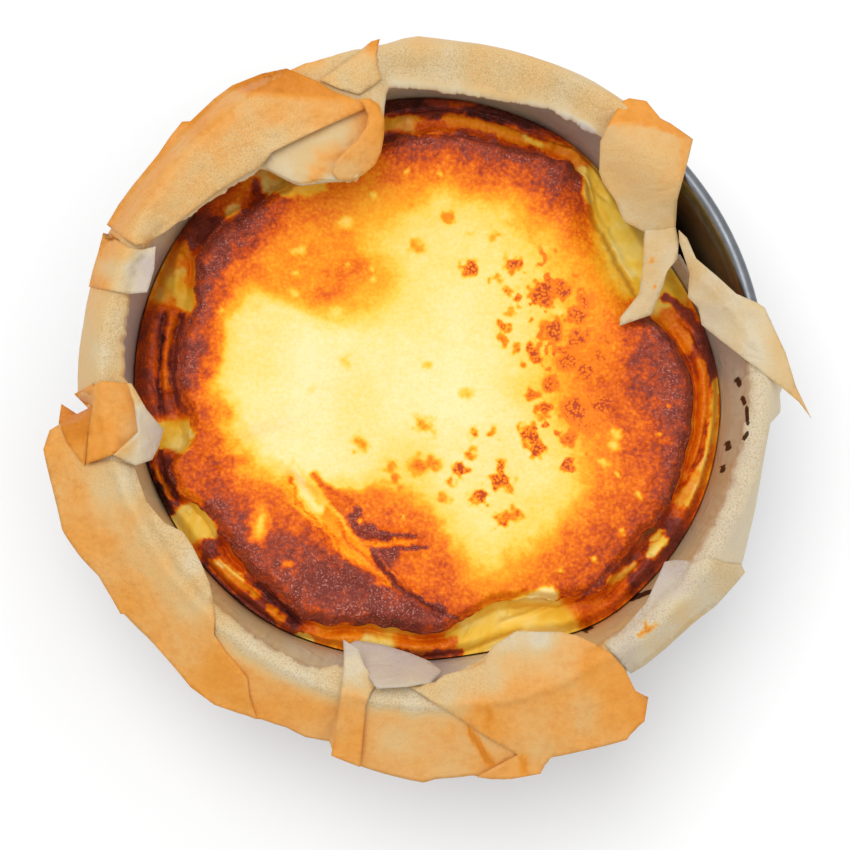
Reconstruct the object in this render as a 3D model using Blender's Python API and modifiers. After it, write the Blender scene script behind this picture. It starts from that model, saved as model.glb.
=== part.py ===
"""Basque burnt cheesecake in its round tin, lined with one folded sheet of baking parchment.

Frame: origin at the centre of the tin's flat base, +Z up. Angles run anticlockwise from +X.
All lengths below are millimetres; MM turns them into metres where a mesh is made.
"""

import math

import bmesh
import bpy
from mathutils import Vector, noise

MM = 0.001

# Tin: a plain 20 cm round tin with a rolled rim
TIN_INNER_R = 100.0
TIN_HEIGHT = 71.2
TIN_WALL = 0.8
TIN_STEPS = 72
TIN_CORNER_R = 2.6
TIN_CORNER_POINTS = 4
BEAD_R = 2.2
BEAD_POINTS = 8
BEAD_FIRST = 184.0
BEAD_LAST = -118.0
BEAD_CENTRE_R = TIN_INNER_R + 2.3
BEAD_CENTRE_Z = TIN_HEIGHT - BEAD_R

# Gaps and the sheet
GAP = 0.3
PAPER_THICK = 0.5
PAPER_FLOOR_Z = TIN_WALL + GAP + PAPER_THICK
PAPER_MAX_R = TIN_INNER_R - GAP - PAPER_THICK
SEGMENTS = 104

# Cheesecake heights
CAKE_BASE_Z = PAPER_FLOOR_Z + GAP
CAKE_TO_PAPER = 0.6
CENTRE_Z = 47.0
RIDGE_RISE = 5.0
CRUST_LIP_DROP = 3.5
LEDGE_Z = 42.5
SHOULDER_Z = 38.5
CAKE_CORNER = 2.5
CAKE_SIDE_HEIGHTS = (33.5, 18.0, CAKE_BASE_Z + CAKE_CORNER)

# Outer side of the cake: (angle, radius)
CAKE_EDGE = (
    (0, 97.0), (20, 92.0), (32, 89.5), (44, 90.5), (62, 96.0), (90, 98.0), (130, 97.0),
    (165, 98.2), (184, 98.0), (206, 96.2), (235, 95.0), (252, 92.0), (280, 89.6), (292, 91.0),
    (304, 96.5), (335, 98.2),
)

# Edge of the browned top where it breaks away from the sides: (angle, radius)
CRUST_EDGE = (
    (0, 85.6), (8, 81.5), (17, 75.5), (32, 75.0), (45, 78.0), (54, 87.0), (63, 86.0), (72, 82.5),
    (90, 85.2), (102, 80.0), (118, 79.0), (132, 81.0), (144, 87.2), (152, 87.6), (162, 81.2),
    (178, 83.6), (189, 79.8), (194, 80.5), (199, 91.5), (205, 90.0), (210, 84.0), (224, 85.0),
    (244, 87.4), (256, 80.6), (270, 82.0), (280, 76.8), (287, 73.8), (296, 79.0), (308, 88.0),
    (320, 84.6), (332, 87.0), (348, 86.4),
)

# Ledges that carry two folds beside the browned top: (first angle, last angle, fold height)
FOLDED_LEDGES = (
    (60, 108, 2.6),
    (156, 196, 3.2),
    (212, 246, 2.2),
    (330, 356, 1.8),
)

# Breaks in the top: a line of (x, y), half its width, its depth, and how much one side stands up
CREAM_CRACK = ((-52, -25), (-43, -34), (-29, -44), (-20, -54), (-14, -63))
LIFTED_EDGE = ((-14, -61), (-5, -69), (6, -76))
BREAKS = (
    (CREAM_CRACK, 5.5, 2.8, 1.2),
    (LIFTED_EDGE, 5.0, 1.6, 1.2),
)
BREAK_ENDS = 0.15
UNEVEN_HEIGHT = 0.9
UNEVEN_SCALE = 26.0

# How far the outlines above are rounded, in degrees to each side
CRUST_ROUNDING = 2.0
SIDE_ROUNDING = 6.0

# Rings of the cake's blank: shares of the way to the crust edge, then from there to the side
TOP_RINGS = (0.12, 0.24, 0.36, 0.47, 0.57, 0.66, 0.74, 0.81, 0.87, 0.92, 0.965, 1.0)
LEDGE_RINGS = (0.12, 0.28, 0.45, 0.62, 0.8, 1.0)

# Inner border of the sheet where it folds over the rim: (angle, radius).
# A radius of PAPER_MAX_R means that it runs straight up the wall.
FOLD_BORDER = (
    (0, 97.8), (54, 93.4), (58, 92.6), (67, 93.0), (77, 90.2), (87, 90.3),
    (95, 92.0), (99.5, 93.5), (102, 81.0), (104, 73.2), (107.5, 69.4), (112, 66.8), (116, 68.0),
    (121, 71.0), (126.5, 74.0), (130, 85.0), (138, 87.5), (147, 91.5), (157, 99.0), (163, 99.2),
    (169, 96.8), (181, 95.6), (187, 90.0), (192, 86.4), (197, 92.5), (200, 99.2), (246, 99.2),
    (251, 90.5), (268, 91.0), (272, 93.0), (276, 89.8), (281, 87.0), (285.5, 84.0), (291, 86.0),
    (296, 91.0), (301, 98.5), (330, 98.2), (350, 97.4),
)

# Free outer edge of the sheet: (angle, radius)
SKIRT_EDGE = (
    (0, 115.2), (54, 113.5), (57, 112.2), (70, 111.5), (92, 113.5),
    (101, 112.0), (106, 108.6), (112, 108.2), (116, 111.6), (125, 115.4), (141, 114.4), (157, 115.8),
    (166, 115.0), (183, 114.8), (185.5, 110.6), (188, 121.0), (192, 124.6), (203, 125.6), (212, 122.6),
    (225, 122.0), (237, 123.4), (247, 120.0), (254, 119.2), (256, 122.8), (268, 126.2), (275, 124.6),
    (284, 127.8), (288, 124.8), (297, 128.0), (301, 125.8), (303.5, 115.4), (311, 112.6), (318, 115.4),
    (326, 117.0), (334, 114.4), (344, 111.4), (352, 110.2), (353.5, 118.9), (357, 117.0),
)
FOLD_Z = 68.4

# Sections of the sheet. On the wall: height, then beside a fold its distance from the fold in
# radius and in height. The two are blended by how far the fold reaches inward.
PAPER_CORNER_R = 2.6
WALL_LOW_HEIGHTS = (22.0, 40.0)
WALL_FREE_Z = 54.0
WALL_ROWS = (
    (62.0, 3.2, -3.6),
    (66.0, 0.3, -1.3),
    (69.6, 0.6, 0.5),
)
FOLD_REACH = 6.0
WALL_LEAN = 0.5
RIM_SHOULDER = (BEAD_CENTRE_R - 2.0, TIN_HEIGHT + 0.5)
FOLD_SHOULDER = (4.0, 1.6)
FOLD_SHOULDER_MAX_R = 97.5
CREST_RISE = 1.5
OUTER_REACH = 3.7
MIDDLE_BULGE = 0.6
MIDDLE_DROP = 0.9
MIDDLE_SHARE = 0.4
SKIRT_LENGTH = 18.0
SKIRT_LEAST_DROP = 6.5
SKIRT_WAVE = 1.4
SKIRT_WAVES = 13
PLEATS = 26
PLEAT_DEPTH = 0.5

# At the right the sheet is torn: a loose band leans across the gap, from its (angle, inner radius)
# to its (angle, outer radius), and between two angles the wall behind it ends low
BAND_FROM = 2.0
BAND_TO = 54.0
BAND_INNER = (
    (2, 96.8), (6.6, 91.8), (12, 86.5), (16.6, 84.3), (21, 86.4), (28, 85.8), (31, 84.8), (35, 82.8),
    (38, 81.4), (44.5, 82.6), (49.4, 83.2), (52, 86.0), (54, 92.0),
)
BAND_OUTER = (
    (2, 112.8), (4, 111.2), (8, 108.4), (11, 106.6), (14, 101.0), (17.5, 95.8), (22, 91.4), (28, 90.2),
    (31, 90.2), (34, 94.0), (37, 100.4), (40, 106.0), (42.5, 113.0), (48.7, 111.2), (54, 111.8),
)
BAND_CREST_Z = TIN_HEIGHT + 3.2
BAND_INNER_SLOPE = 0.62
BAND_OUTER_SLOPE = 1.3
BAND_FLAT_SLOPE = 0.55
BAND_CREST_WIDTH = 1.7
BAND_BEND_R = 108.0
BAND_DIP = 4.5
BAND_DIP_ANGLE = 31.0
BAND_DIP_WIDTH = 11.0
LOW_FROM = 11.0
LOW_TO = 43.0
LOW_HEIGHTS = (42.5, 45.0, 47.0, 49.0)
LOW_LEAN = 0.3

# Torn strip that hangs from the band on to the cake: (left x, y), (right x, y), height
HANGING_STRIP = (
    ((63, 55), (75, 52), 66.0),
    ((68, 48), (77, 46), 57.5),
    ((68, 42), (79, 42), 56.8),
    ((67, 37), (77, 38), 56.5),
    ((66, 27), (74, 31), 55.5),
    ((64, 22), (69, 21), 54.5),
    ((60, 18), (61, 17), 53.0),
)
STRIP_ARCH = 0.8


def clear_scene():
    for obj in list(bpy.data.objects):
        bpy.data.objects.remove(obj, do_unlink=True)


def new_collection(name):
    collection = bpy.data.collections.new(name)
    bpy.context.scene.collection.children.link(collection)
    return collection


def principled(name, colour, roughness, metallic=0.0):
    material = bpy.data.materials.new(name)
    material.use_nodes = True
    shader = material.node_tree.nodes["Principled BSDF"]
    shader.inputs["Base Color"].default_value = (*colour, 1.0)
    shader.inputs["Roughness"].default_value = roughness
    shader.inputs["Metallic"].default_value = metallic
    return material


def clamp01(value):
    return max(0.0, min(1.0, value))


def ease(start, end, value):
    """0 before start, 1 after end, smooth between them."""
    share = clamp01((value - start) / (end - start))
    return share * share * (3.0 - 2.0 * share)


def mix(a, b, share):
    return a + (b - a) * share


def around(stations, angle):
    """The value at an angle in degrees, read straight between stations that go once round."""
    angle = angle % 360.0
    ordered = sorted((station % 360.0, value) for station, value in stations)
    before = (ordered[-1][0] - 360.0, ordered[-1][1])
    for station in ordered + [(ordered[0][0] + 360.0, ordered[0][1])]:
        if angle <= station[0]:
            share = (angle - before[0]) / (station[0] - before[0])
            return mix(before[1], station[1], share)
        before = station
    return before[1]


def rounded(stations, angle, reach):
    """The same, averaged over reach degrees on both sides, which rounds its corners."""
    offsets = (-1.0, -0.5, 0.0, 0.5, 1.0)
    return sum(around(stations, angle + reach * offset) for offset in offsets) / len(offsets)


def within(first, last, angle, soft=6.0):
    """1 between two angles, falling to 0 over soft degrees outside them."""
    middle = (first + last) / 2.0
    away = abs((angle - middle + 180.0) % 360.0 - 180.0)
    half = (last - first) / 2.0
    return 1.0 - ease(half, half + soft, away)


def side_of_line(points, x, y):
    """Distance to an open line of points, positive on its left, and the share of the way along it."""
    best = (1.0e9, 0.0)
    count = len(points) - 1
    for index in range(count):
        ax, ay = points[index]
        bx, by = points[index + 1]
        dx = bx - ax
        dy = by - ay
        along = clamp01(((x - ax) * dx + (y - ay) * dy) / (dx * dx + dy * dy))
        away_x = x - ax - along * dx
        away_y = y - ay - along * dy
        distance = math.hypot(away_x, away_y)
        if distance < abs(best[0]):
            sign = 1.0 if dx * away_y - dy * away_x >= 0.0 else -1.0
            best = (sign * distance, (index + along) / count)
    return best


def arc(centre_r, centre_z, radius, first, last, points):
    """Points (radius, z) along an arc between two angles in degrees."""
    turns = [math.radians(mix(first, last, index / (points - 1))) for index in range(points)]
    return [(centre_r + radius * math.cos(turn), centre_z + radius * math.sin(turn)) for turn in turns]


def mesh_object(name, mesh, collection, material):
    obj = bpy.data.objects.new(name, mesh)
    collection.objects.link(obj)
    mesh.materials.clear()
    mesh.materials.append(material)
    return obj


def turned(name, profile, steps, collection, material):
    """A profile of (radius, z) turned once round Z by a Screw modifier."""
    mesh = bpy.data.meshes.new(name)
    points = [(radius * MM, 0.0, z * MM) for radius, z in profile]
    edges = [(index, index + 1) for index in range(len(points) - 1)]
    mesh.from_pydata(points, edges, [])
    obj = mesh_object(name, mesh, collection, material)
    screw = obj.modifiers.new("turn", "SCREW")
    screw.axis = "Z"
    screw.steps = steps
    screw.render_steps = steps
    screw.use_merge_vertices = True
    screw.merge_threshold = 0.00001
    screw.use_smooth_shade = True
    return obj


def applied(obj):
    """Replaces the object's mesh by its evaluated one, with no modifiers left."""
    depsgraph = bpy.context.evaluated_depsgraph_get()
    mesh = bpy.data.meshes.new_from_object(obj.evaluated_get(depsgraph))
    obj.modifiers.clear()
    obj.data = mesh
    return obj


def smooth(obj, angle=40.0):
    obj.data.shade_smooth()
    obj.data.set_sharp_from_angle(angle=math.radians(angle))


def make_tin(collection):
    """Floor, wall and rolled rim in one turned piece."""
    outer_r = TIN_INNER_R + TIN_WALL
    foot_r = TIN_INNER_R - TIN_CORNER_R
    corner_z = TIN_WALL + TIN_CORNER_R
    profile = [(0.0, TIN_WALL)]
    profile += arc(foot_r, corner_z, TIN_CORNER_R, -90.0, 0.0, TIN_CORNER_POINTS)
    profile += arc(BEAD_CENTRE_R, BEAD_CENTRE_Z, BEAD_R, BEAD_FIRST, BEAD_LAST, BEAD_POINTS)
    profile.append((outer_r, BEAD_CENTRE_Z - BEAD_R - 1.0))
    profile += arc(foot_r, corner_z, TIN_CORNER_R + TIN_WALL, 0.0, -90.0, TIN_CORNER_POINTS)
    profile.append((0.0, 0.0))
    steel = principled("tin_steel", (0.42, 0.43, 0.44), 0.34, 1.0)
    tin = turned("tin", profile, TIN_STEPS, collection, steel)
    applied(tin)
    smooth(tin)
    return tin


def relief(x, y):
    """Breaks and gentle unevenness of the browned top at a place in millimetres."""
    height = UNEVEN_HEIGHT * noise.noise(Vector((x, y, 0.0)) / UNEVEN_SCALE)
    for line, half_width, depth, lift in BREAKS:
        distance, along = side_of_line(line, x, y)
        ends = ease(0.0, BREAK_ENDS, along) * (1.0 - ease(1.0 - BREAK_ENDS, 1.0, along))
        near = 1.0 - ease(0.0, half_width, abs(distance))
        height -= depth * near * (0.4 + 0.6 * ends)
        if distance > 0.0:
            raised = ease(half_width * 0.5, half_width, distance)
            height += lift * raised * (1.0 - ease(half_width, half_width * 4.0, distance)) * ends
    return height


def cake_top(share, angle):
    """Radius and height of the top: share 0 to 1 is the browned top, 1 to 2 the ledge outside it."""
    crust = rounded(CRUST_EDGE, angle, CRUST_ROUNDING)
    side = rounded(CAKE_EDGE, angle, SIDE_ROUNDING)
    lip_z = CENTRE_Z + RIDGE_RISE - CRUST_LIP_DROP
    if share <= 1.0:
        radius = crust * share
        height = CENTRE_Z + RIDGE_RISE * ease(0.45, 0.9, share)
        height -= CRUST_LIP_DROP * ease(0.9, 1.0, share)
    else:
        out = share - 1.0
        radius = mix(crust, side, out)
        height = mix(lip_z, LEDGE_Z, ease(0.0, 0.3, out))
        height = mix(height, SHOULDER_Z, ease(0.6, 1.0, out))
        for first, last, fold in FOLDED_LEDGES:
            wave = math.sin(2.0 * math.pi * clamp01((out - 0.05) / 0.9)) ** 2
            height += fold * wave * within(first, last, angle)
    x = radius * math.cos(math.radians(angle))
    y = radius * math.sin(math.radians(angle))
    level = 1.0 - ease(1.3, 2.0, share)
    return radius, height + relief(x, y) * level


def make_cheesecake(collection):
    """A turned blank whose rings carry their share of the way out, then shaped ring by ring."""
    unit = 1000.0
    top = [(share, 1.0) for share in (0.0,) + TOP_RINGS]
    top += [(1.0 + share, 1.0) for share in LEDGE_RINGS]
    side = [(2.0, -float(index)) for index in range(len(CAKE_SIDE_HEIGHTS))]
    base = [(1.5, -10.0), (0.0, -10.0)]
    blank = [(radius * unit, level * unit) for radius, level in top + side + base]
    crust = principled("baked_crust", (0.62, 0.25, 0.05), 0.42)
    cake = turned("cheesecake", blank, SEGMENTS, collection, crust)
    applied(cake)
    for vertex in cake.data.vertices:
        share = math.hypot(vertex.co.x, vertex.co.y)
        level = round(vertex.co.z)
        angle = math.degrees(math.atan2(vertex.co.y, vertex.co.x)) % 360.0
        side_r = rounded(CAKE_EDGE, angle, SIDE_ROUNDING)
        if level == 1:
            radius, z = cake_top(share, angle)
        elif level > -10:
            radius, z = side_r, CAKE_SIDE_HEIGHTS[-level]
        else:
            radius = (side_r - CAKE_CORNER) * (1.0 if share > 1.0 else 0.0)
            z = CAKE_BASE_Z
        x = radius * math.cos(math.radians(angle))
        y = radius * math.sin(math.radians(angle))
        vertex.co = Vector((x, y, z)) * MM
    cake.data.update()
    smooth(cake, 50.0)
    return cake


def hem_height(radius, angle):
    """Height of the free edge: a skirt of even length drops further where it reaches out less."""
    reach = radius - BEAD_CENTRE_R
    drop = math.sqrt(max(SKIRT_LENGTH**2 - reach**2, SKIRT_LEAST_DROP**2))
    return TIN_HEIGHT - drop + SKIRT_WAVE * math.sin(math.radians(angle * SKIRT_WAVES))


def band_height(radius, angle):
    """Height of the loose band: it leans inward of the rim and hangs outward of it."""
    dip = BAND_DIP * (1.0 - ease(0.0, BAND_DIP_WIDTH, abs(angle - BAND_DIP_ANGLE)))
    if radius <= BEAD_CENTRE_R:
        return BAND_CREST_Z - BAND_INNER_SLOPE * (BEAD_CENTRE_R - radius) - dip
    steep = max(0.0, min(radius, BAND_BEND_R) - BEAD_CENTRE_R - BAND_CREST_WIDTH)
    flat = max(0.0, radius - BAND_BEND_R)
    return BAND_CREST_Z - BAND_OUTER_SLOPE * steep - BAND_FLAT_SLOPE * flat


def wall_section(angle):
    """The sheet on the floor and up the wall: rows of (radius, z) on the face towards the cake."""
    side_r = rounded(CAKE_EDGE, angle, SIDE_ROUNDING) + CAKE_TO_PAPER
    section = [(0.0, PAPER_FLOOR_Z), (side_r - PAPER_CORNER_R, PAPER_FLOOR_Z)]
    section.append((side_r, PAPER_FLOOR_Z + PAPER_CORNER_R))
    section += [(side_r, z) for z in WALL_LOW_HEIGHTS]
    lean_r = min(PAPER_MAX_R, side_r + WALL_LEAN)
    if LOW_FROM < angle < LOW_TO:
        for step, z in enumerate(LOW_HEIGHTS):
            section.append((min(PAPER_MAX_R, lean_r + LOW_LEAN * step), z))
        return section
    torn = BAND_FROM < angle < BAND_TO
    fold_r = PAPER_MAX_R if torn else around(FOLD_BORDER, angle)
    inward = clamp01((PAPER_MAX_R - fold_r) / FOLD_REACH)
    section.append((mix(lean_r, PAPER_MAX_R, 0.5), WALL_FREE_Z))
    for wall_z, beside, above in WALL_ROWS:
        radius = min(fold_r + beside, PAPER_MAX_R)
        section.append((mix(PAPER_MAX_R, radius, inward), mix(wall_z, FOLD_Z + above, inward)))
    return section


def rim_section(angle):
    """The sheet over the rim and out to its free edge."""
    if BAND_FROM < angle < BAND_TO:
        inner_r = around(BAND_INNER, angle)
        outer_r = around(BAND_OUTER, angle)
        radii = [mix(inner_r, outer_r, column / 4.0) for column in range(5)]
        return [(radius, band_height(radius, angle)) for radius in radii]
    fold_r = around(FOLD_BORDER, angle)
    skirt_r = around(SKIRT_EDGE, angle)
    inward = clamp01((PAPER_MAX_R - fold_r) / FOLD_REACH)
    pleat = PLEAT_DEPTH * max(0.0, math.sin(math.radians(angle * PLEATS)))
    outer_r = BEAD_CENTRE_R + OUTER_REACH
    skirt_z = hem_height(skirt_r, angle)
    beside, above = FOLD_SHOULDER
    shoulder_r = mix(RIM_SHOULDER[0], min(fold_r + beside, FOLD_SHOULDER_MAX_R), inward)
    middle_r = mix(outer_r, skirt_r, 0.5) + MIDDLE_BULGE
    section = [(shoulder_r, mix(RIM_SHOULDER[1], FOLD_Z + above, inward))]
    section.append((BEAD_CENTRE_R, TIN_HEIGHT + CREST_RISE + pleat))
    section.append((outer_r, TIN_HEIGHT + pleat))
    section.append((middle_r, mix(TIN_HEIGHT - MIDDLE_DROP, skirt_z, MIDDLE_SHARE)))
    section.append((skirt_r, skirt_z))
    return section


def open_slit(mesh, first_over_rim):
    """Parts the loose band from the wall below it."""
    work = bmesh.new()
    work.from_mesh(mesh)
    rows = work.verts.layers.int["row"]
    slit = []
    for face in work.faces:
        levels = [vertex[rows] for vertex in face.verts]
        angles = [math.degrees(math.atan2(vertex.co.y, vertex.co.x)) % 360.0 for vertex in face.verts]
        torn = any(BAND_FROM < angle < BAND_TO for angle in angles)
        if torn and min(levels) == first_over_rim - 1 and max(levels) == first_over_rim:
            slit.append(face)
    bmesh.ops.delete(work, geom=slit, context="FACES")
    bmesh.ops.triangulate(work, faces=work.faces, quad_method="SHORT_EDGE")
    work.to_mesh(mesh)
    work.free()


def make_sheet(collection, material):
    """The round of parchment: floor, wall, fold over the rim and free skirt."""
    wall_rows = len(wall_section(180.0))
    rows = wall_rows + len(rim_section(180.0))
    unit = 1000.0
    blank = [(row * unit, 0.0) for row in range(rows)]
    sheet = turned("parchment", blank, SEGMENTS, collection, material)
    applied(sheet)
    row_of = sheet.data.attributes.new("row", "INT", "POINT")
    for vertex in sheet.data.vertices:
        row = round(math.hypot(vertex.co.x, vertex.co.y))
        angle = math.degrees(math.atan2(vertex.co.y, vertex.co.x)) % 360.0
        section = wall_section(angle) + rim_section(angle)
        radius, z = section[row]
        row_of.data[vertex.index].value = row
        x = radius * math.cos(math.radians(angle))
        y = radius * math.sin(math.radians(angle))
        vertex.co = Vector((x, y, z)) * MM
    open_slit(sheet.data, wall_rows)
    return sheet


def make_hanging_strip(collection, material):
    """The torn strip at the upper right that hangs down on to the cake, slightly arched across."""
    points = []
    for left, right, z in HANGING_STRIP:
        middle = ((left[0] + right[0]) / 2.0, (left[1] + right[1]) / 2.0, z + STRIP_ARCH)
        points += [Vector((*left, z)) * MM, Vector(middle) * MM, Vector((*right, z)) * MM]
    faces = []
    for row in range(len(HANGING_STRIP) - 1):
        for column in range(2):
            corner = row * 3 + column
            faces.append((corner, corner + 3, corner + 4, corner + 1))
    mesh = bpy.data.meshes.new("hanging_strip")
    mesh.from_pydata(points, [], faces)
    mesh.update()
    return mesh_object("hanging_strip", mesh, collection, material)


def thicken(obj):
    solidify = obj.modifiers.new("paper", "SOLIDIFY")
    solidify.thickness = PAPER_THICK * MM
    solidify.offset = -1.0
    return applied(obj)


def make_parchment(collection, helpers):
    """The round and its torn strip, joined as one solid."""
    paper = principled("baking_parchment", (0.76, 0.58, 0.36), 0.6)
    sheet = thicken(make_sheet(collection, paper))
    thicken(make_hanging_strip(helpers, paper))
    union = sheet.modifiers.new("join", "BOOLEAN")
    union.operation = "UNION"
    union.operand_type = "COLLECTION"
    union.collection = helpers
    union.solver = "EXACT"
    applied(sheet)
    for obj in list(helpers.objects):
        bpy.data.objects.remove(obj, do_unlink=True)
    smooth(sheet, 45.0)
    return sheet


def main():
    clear_scene()
    parts = new_collection("basque_burnt_cheesecake")
    helpers = new_collection("joined_strip")
    make_tin(parts)
    make_cheesecake(parts)
    make_parchment(parts, helpers)


main()
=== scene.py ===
import math

import bpy
import numpy as np
from mathutils import Matrix, Vector
from mathutils.geometry import delaunay_2d_cdt


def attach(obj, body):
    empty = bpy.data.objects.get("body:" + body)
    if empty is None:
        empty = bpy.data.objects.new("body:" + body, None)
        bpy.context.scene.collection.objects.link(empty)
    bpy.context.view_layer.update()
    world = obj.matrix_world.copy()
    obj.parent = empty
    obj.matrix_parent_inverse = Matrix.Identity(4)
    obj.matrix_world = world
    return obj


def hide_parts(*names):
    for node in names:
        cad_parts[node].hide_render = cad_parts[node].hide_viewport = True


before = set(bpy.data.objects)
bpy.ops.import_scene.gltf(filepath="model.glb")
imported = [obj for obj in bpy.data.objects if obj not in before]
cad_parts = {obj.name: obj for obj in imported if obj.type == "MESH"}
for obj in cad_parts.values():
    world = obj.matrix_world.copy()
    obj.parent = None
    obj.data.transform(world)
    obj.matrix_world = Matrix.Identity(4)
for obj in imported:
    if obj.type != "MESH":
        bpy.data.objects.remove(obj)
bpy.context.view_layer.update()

mm = 0.001
fieldSize = 256         # cells across the random fields below

# where the photo was taken from, in millimetres; strokes below are read on levels seen from here
shot = {
    "eye": (-22.6, -60.2, 520.0),
    "target": (-3.4, -16.7, 70.0),
    "lens": 61.755,
    "sensor": 36.0,
    "cakeLevel": 50.0,      # height on which cake strokes are read
    "paperLevel": 72.0,     # the same for the paper
}


def paint(red, green, blue):
    # screen colour 0..255 to the linear colour that shaders use
    channels = []
    for value in (red, green, blue):
        share = value / 255.0
        channels.append(share / 12.92 if share <= 0.04045 else ((share + 0.055) / 1.055) ** 2.4)
    return (*channels, 1.0)


def ease(start, end, value):
    share = np.clip((value - start) / (end - start), 0.0, 1.0)
    return share * share * (3.0 - 2.0 * share)


def mix(a, b, share):
    return a + (b - a) * share


def around(stations, angle, reach=0.0):
    # value at an angle in degrees between stations that go once round, softened over reach degrees
    ordered = sorted((a % 360.0, v) for a, v in stations)
    angles = [a for a, v in ordered]
    values = [v for a, v in ordered]
    offsets = (0.0,) if reach == 0.0 else np.linspace(-reach, reach, 5)
    total = sum(np.interp(np.asarray(angle) + offset, angles, values, period=360.0) for offset in offsets)
    return total / len(offsets)


def between(first, last, angle, soft=5.0):
    # 1 between two angles, 0 beyond them
    middle = (first + last) / 2.0
    away = np.abs((angle - middle + 180.0) % 360.0 - 180.0)
    half = (last - first) / 2.0
    return 1.0 - ease(half, half + soft, away)


def place(points):
    # (angle, radius) pairs to x, y
    return [(r * math.cos(math.radians(a)), r * math.sin(math.radians(a))) for a, r in points]


def toLine(points, x, y):
    # distance to a line of x, y points, its sign (left of the line is +) and the share along it
    best = np.full(x.shape, 1.0e9)
    side = np.ones(x.shape)
    along = np.zeros(x.shape)
    lengths = [0.0]
    for (ax, ay), (bx, by) in zip(points, points[1:]):
        lengths.append(lengths[-1] + math.hypot(bx - ax, by - ay))
    for index, ((ax, ay), (bx, by)) in enumerate(zip(points, points[1:])):
        dx, dy = bx - ax, by - ay
        t = np.clip(((x - ax) * dx + (y - ay) * dy) / (dx * dx + dy * dy), 0.0, 1.0)
        ex, ey = x - ax - t * dx, y - ay - t * dy
        distance = np.hypot(ex, ey)
        nearer = distance < best
        best = np.where(nearer, distance, best)
        side = np.where(nearer, np.where(dx * ey - dy * ex >= 0.0, 1.0, -1.0), side)
        share = (lengths[index] + t * (lengths[index + 1] - lengths[index])) / lengths[-1]
        along = np.where(nearer, share, along)
    return best, side, along


def inside(points, x, y):
    # distance to a closed outline of x, y points, + within it
    distance, _, _ = toLine(list(points) + [points[0]], x, y)
    within = np.zeros(x.shape, dtype=bool)
    for (ax, ay), (bx, by) in zip(points, points[1:] + points[:1]):
        if ay != by:
            within ^= ((ay > y) != (by > y)) & (x < (bx - ax) * (y - ay) / (by - ay) + ax)
    return np.where(within, distance, -distance)


def patch(outline, soft, x, y):
    # 1 within an outline of (angle, radius) points, 0 beyond it, with a soft border
    return ease(-0.5 * soft, 0.5 * soft, inside(place(outline), x, y))


def clouds(x, y, size, seed):
    # smooth random field, about -1..1, with features of the given size
    rng = np.random.default_rng(seed)
    lattice = rng.uniform(-1.0, 1.0, (fieldSize + 1, fieldSize + 1))
    u, v = np.asarray(x) / size + 100.5, np.asarray(y) / size + 100.5
    i, j = np.floor(u).astype(int), np.floor(v).astype(int)
    fu, fv = u - i, v - j
    fu, fv = fu * fu * (3.0 - 2.0 * fu), fv * fv * (3.0 - 2.0 * fv)
    i, j = i % fieldSize, j % fieldSize
    low = mix(lattice[i, j], lattice[i + 1, j], fu)
    high = mix(lattice[i, j + 1], lattice[i + 1, j + 1], fu)
    return mix(low, high, fv) * 1.4


def cloudLayers(x, y, layers, start=0.0):
    # adds clouds of several sizes to a start: (height, size, seed) each
    for height, size, seed in layers:
        start = start + height * clouds(x, y, size, seed)
    return start


def bubbles(x, y, size, seed):
    # 1 at the middle of scattered cells, 0 at their borders
    rng = np.random.default_rng(seed)
    jitter = rng.uniform(0.15, 0.85, (2, fieldSize, fieldSize))
    u, v = x / size + 100.0, y / size + 100.0
    i, j = np.floor(u).astype(int), np.floor(v).astype(int)
    nearest = np.full(x.shape, np.inf)
    for di in (-1, 0, 1):
        for dj in (-1, 0, 1):
            ci, cj = (i + di) % fieldSize, (j + dj) % fieldSize
            cx, cy = i + di + jitter[0, ci, cj], j + dj + jitter[1, ci, cj]
            nearest = np.minimum(nearest, np.hypot(u - cx, v - cy))
    return 1.0 - np.clip(nearest / 0.75, 0.0, 1.0)


def seenAt(x, y, z, level):
    # where a point shows on a level as the photo's camera sees it
    ex, ey, ez = shot["eye"]
    share = (ez - level) / (ez - z)
    return ex + (x - ex) * share, ey + (y - ey) * share


def addObject(name, data):
    made = bpy.data.objects.new(name, data)
    bpy.context.scene.collection.objects.link(made)
    return made


def meshPiece(name, points, faces, layers):
    mesh = bpy.data.meshes.new(name)
    mesh.from_pydata((np.asarray(points) * mm).tolist(), [], faces)
    mesh.validate()
    for key, values in layers.items():
        layer = mesh.attributes.new(key, "FLOAT", "POINT")
        layer.data.foreach_set("value", np.asarray(values, dtype=np.float32))
    mesh.shade_smooth()
    mesh.update()
    piece = addObject(name, mesh)
    return piece


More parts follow.
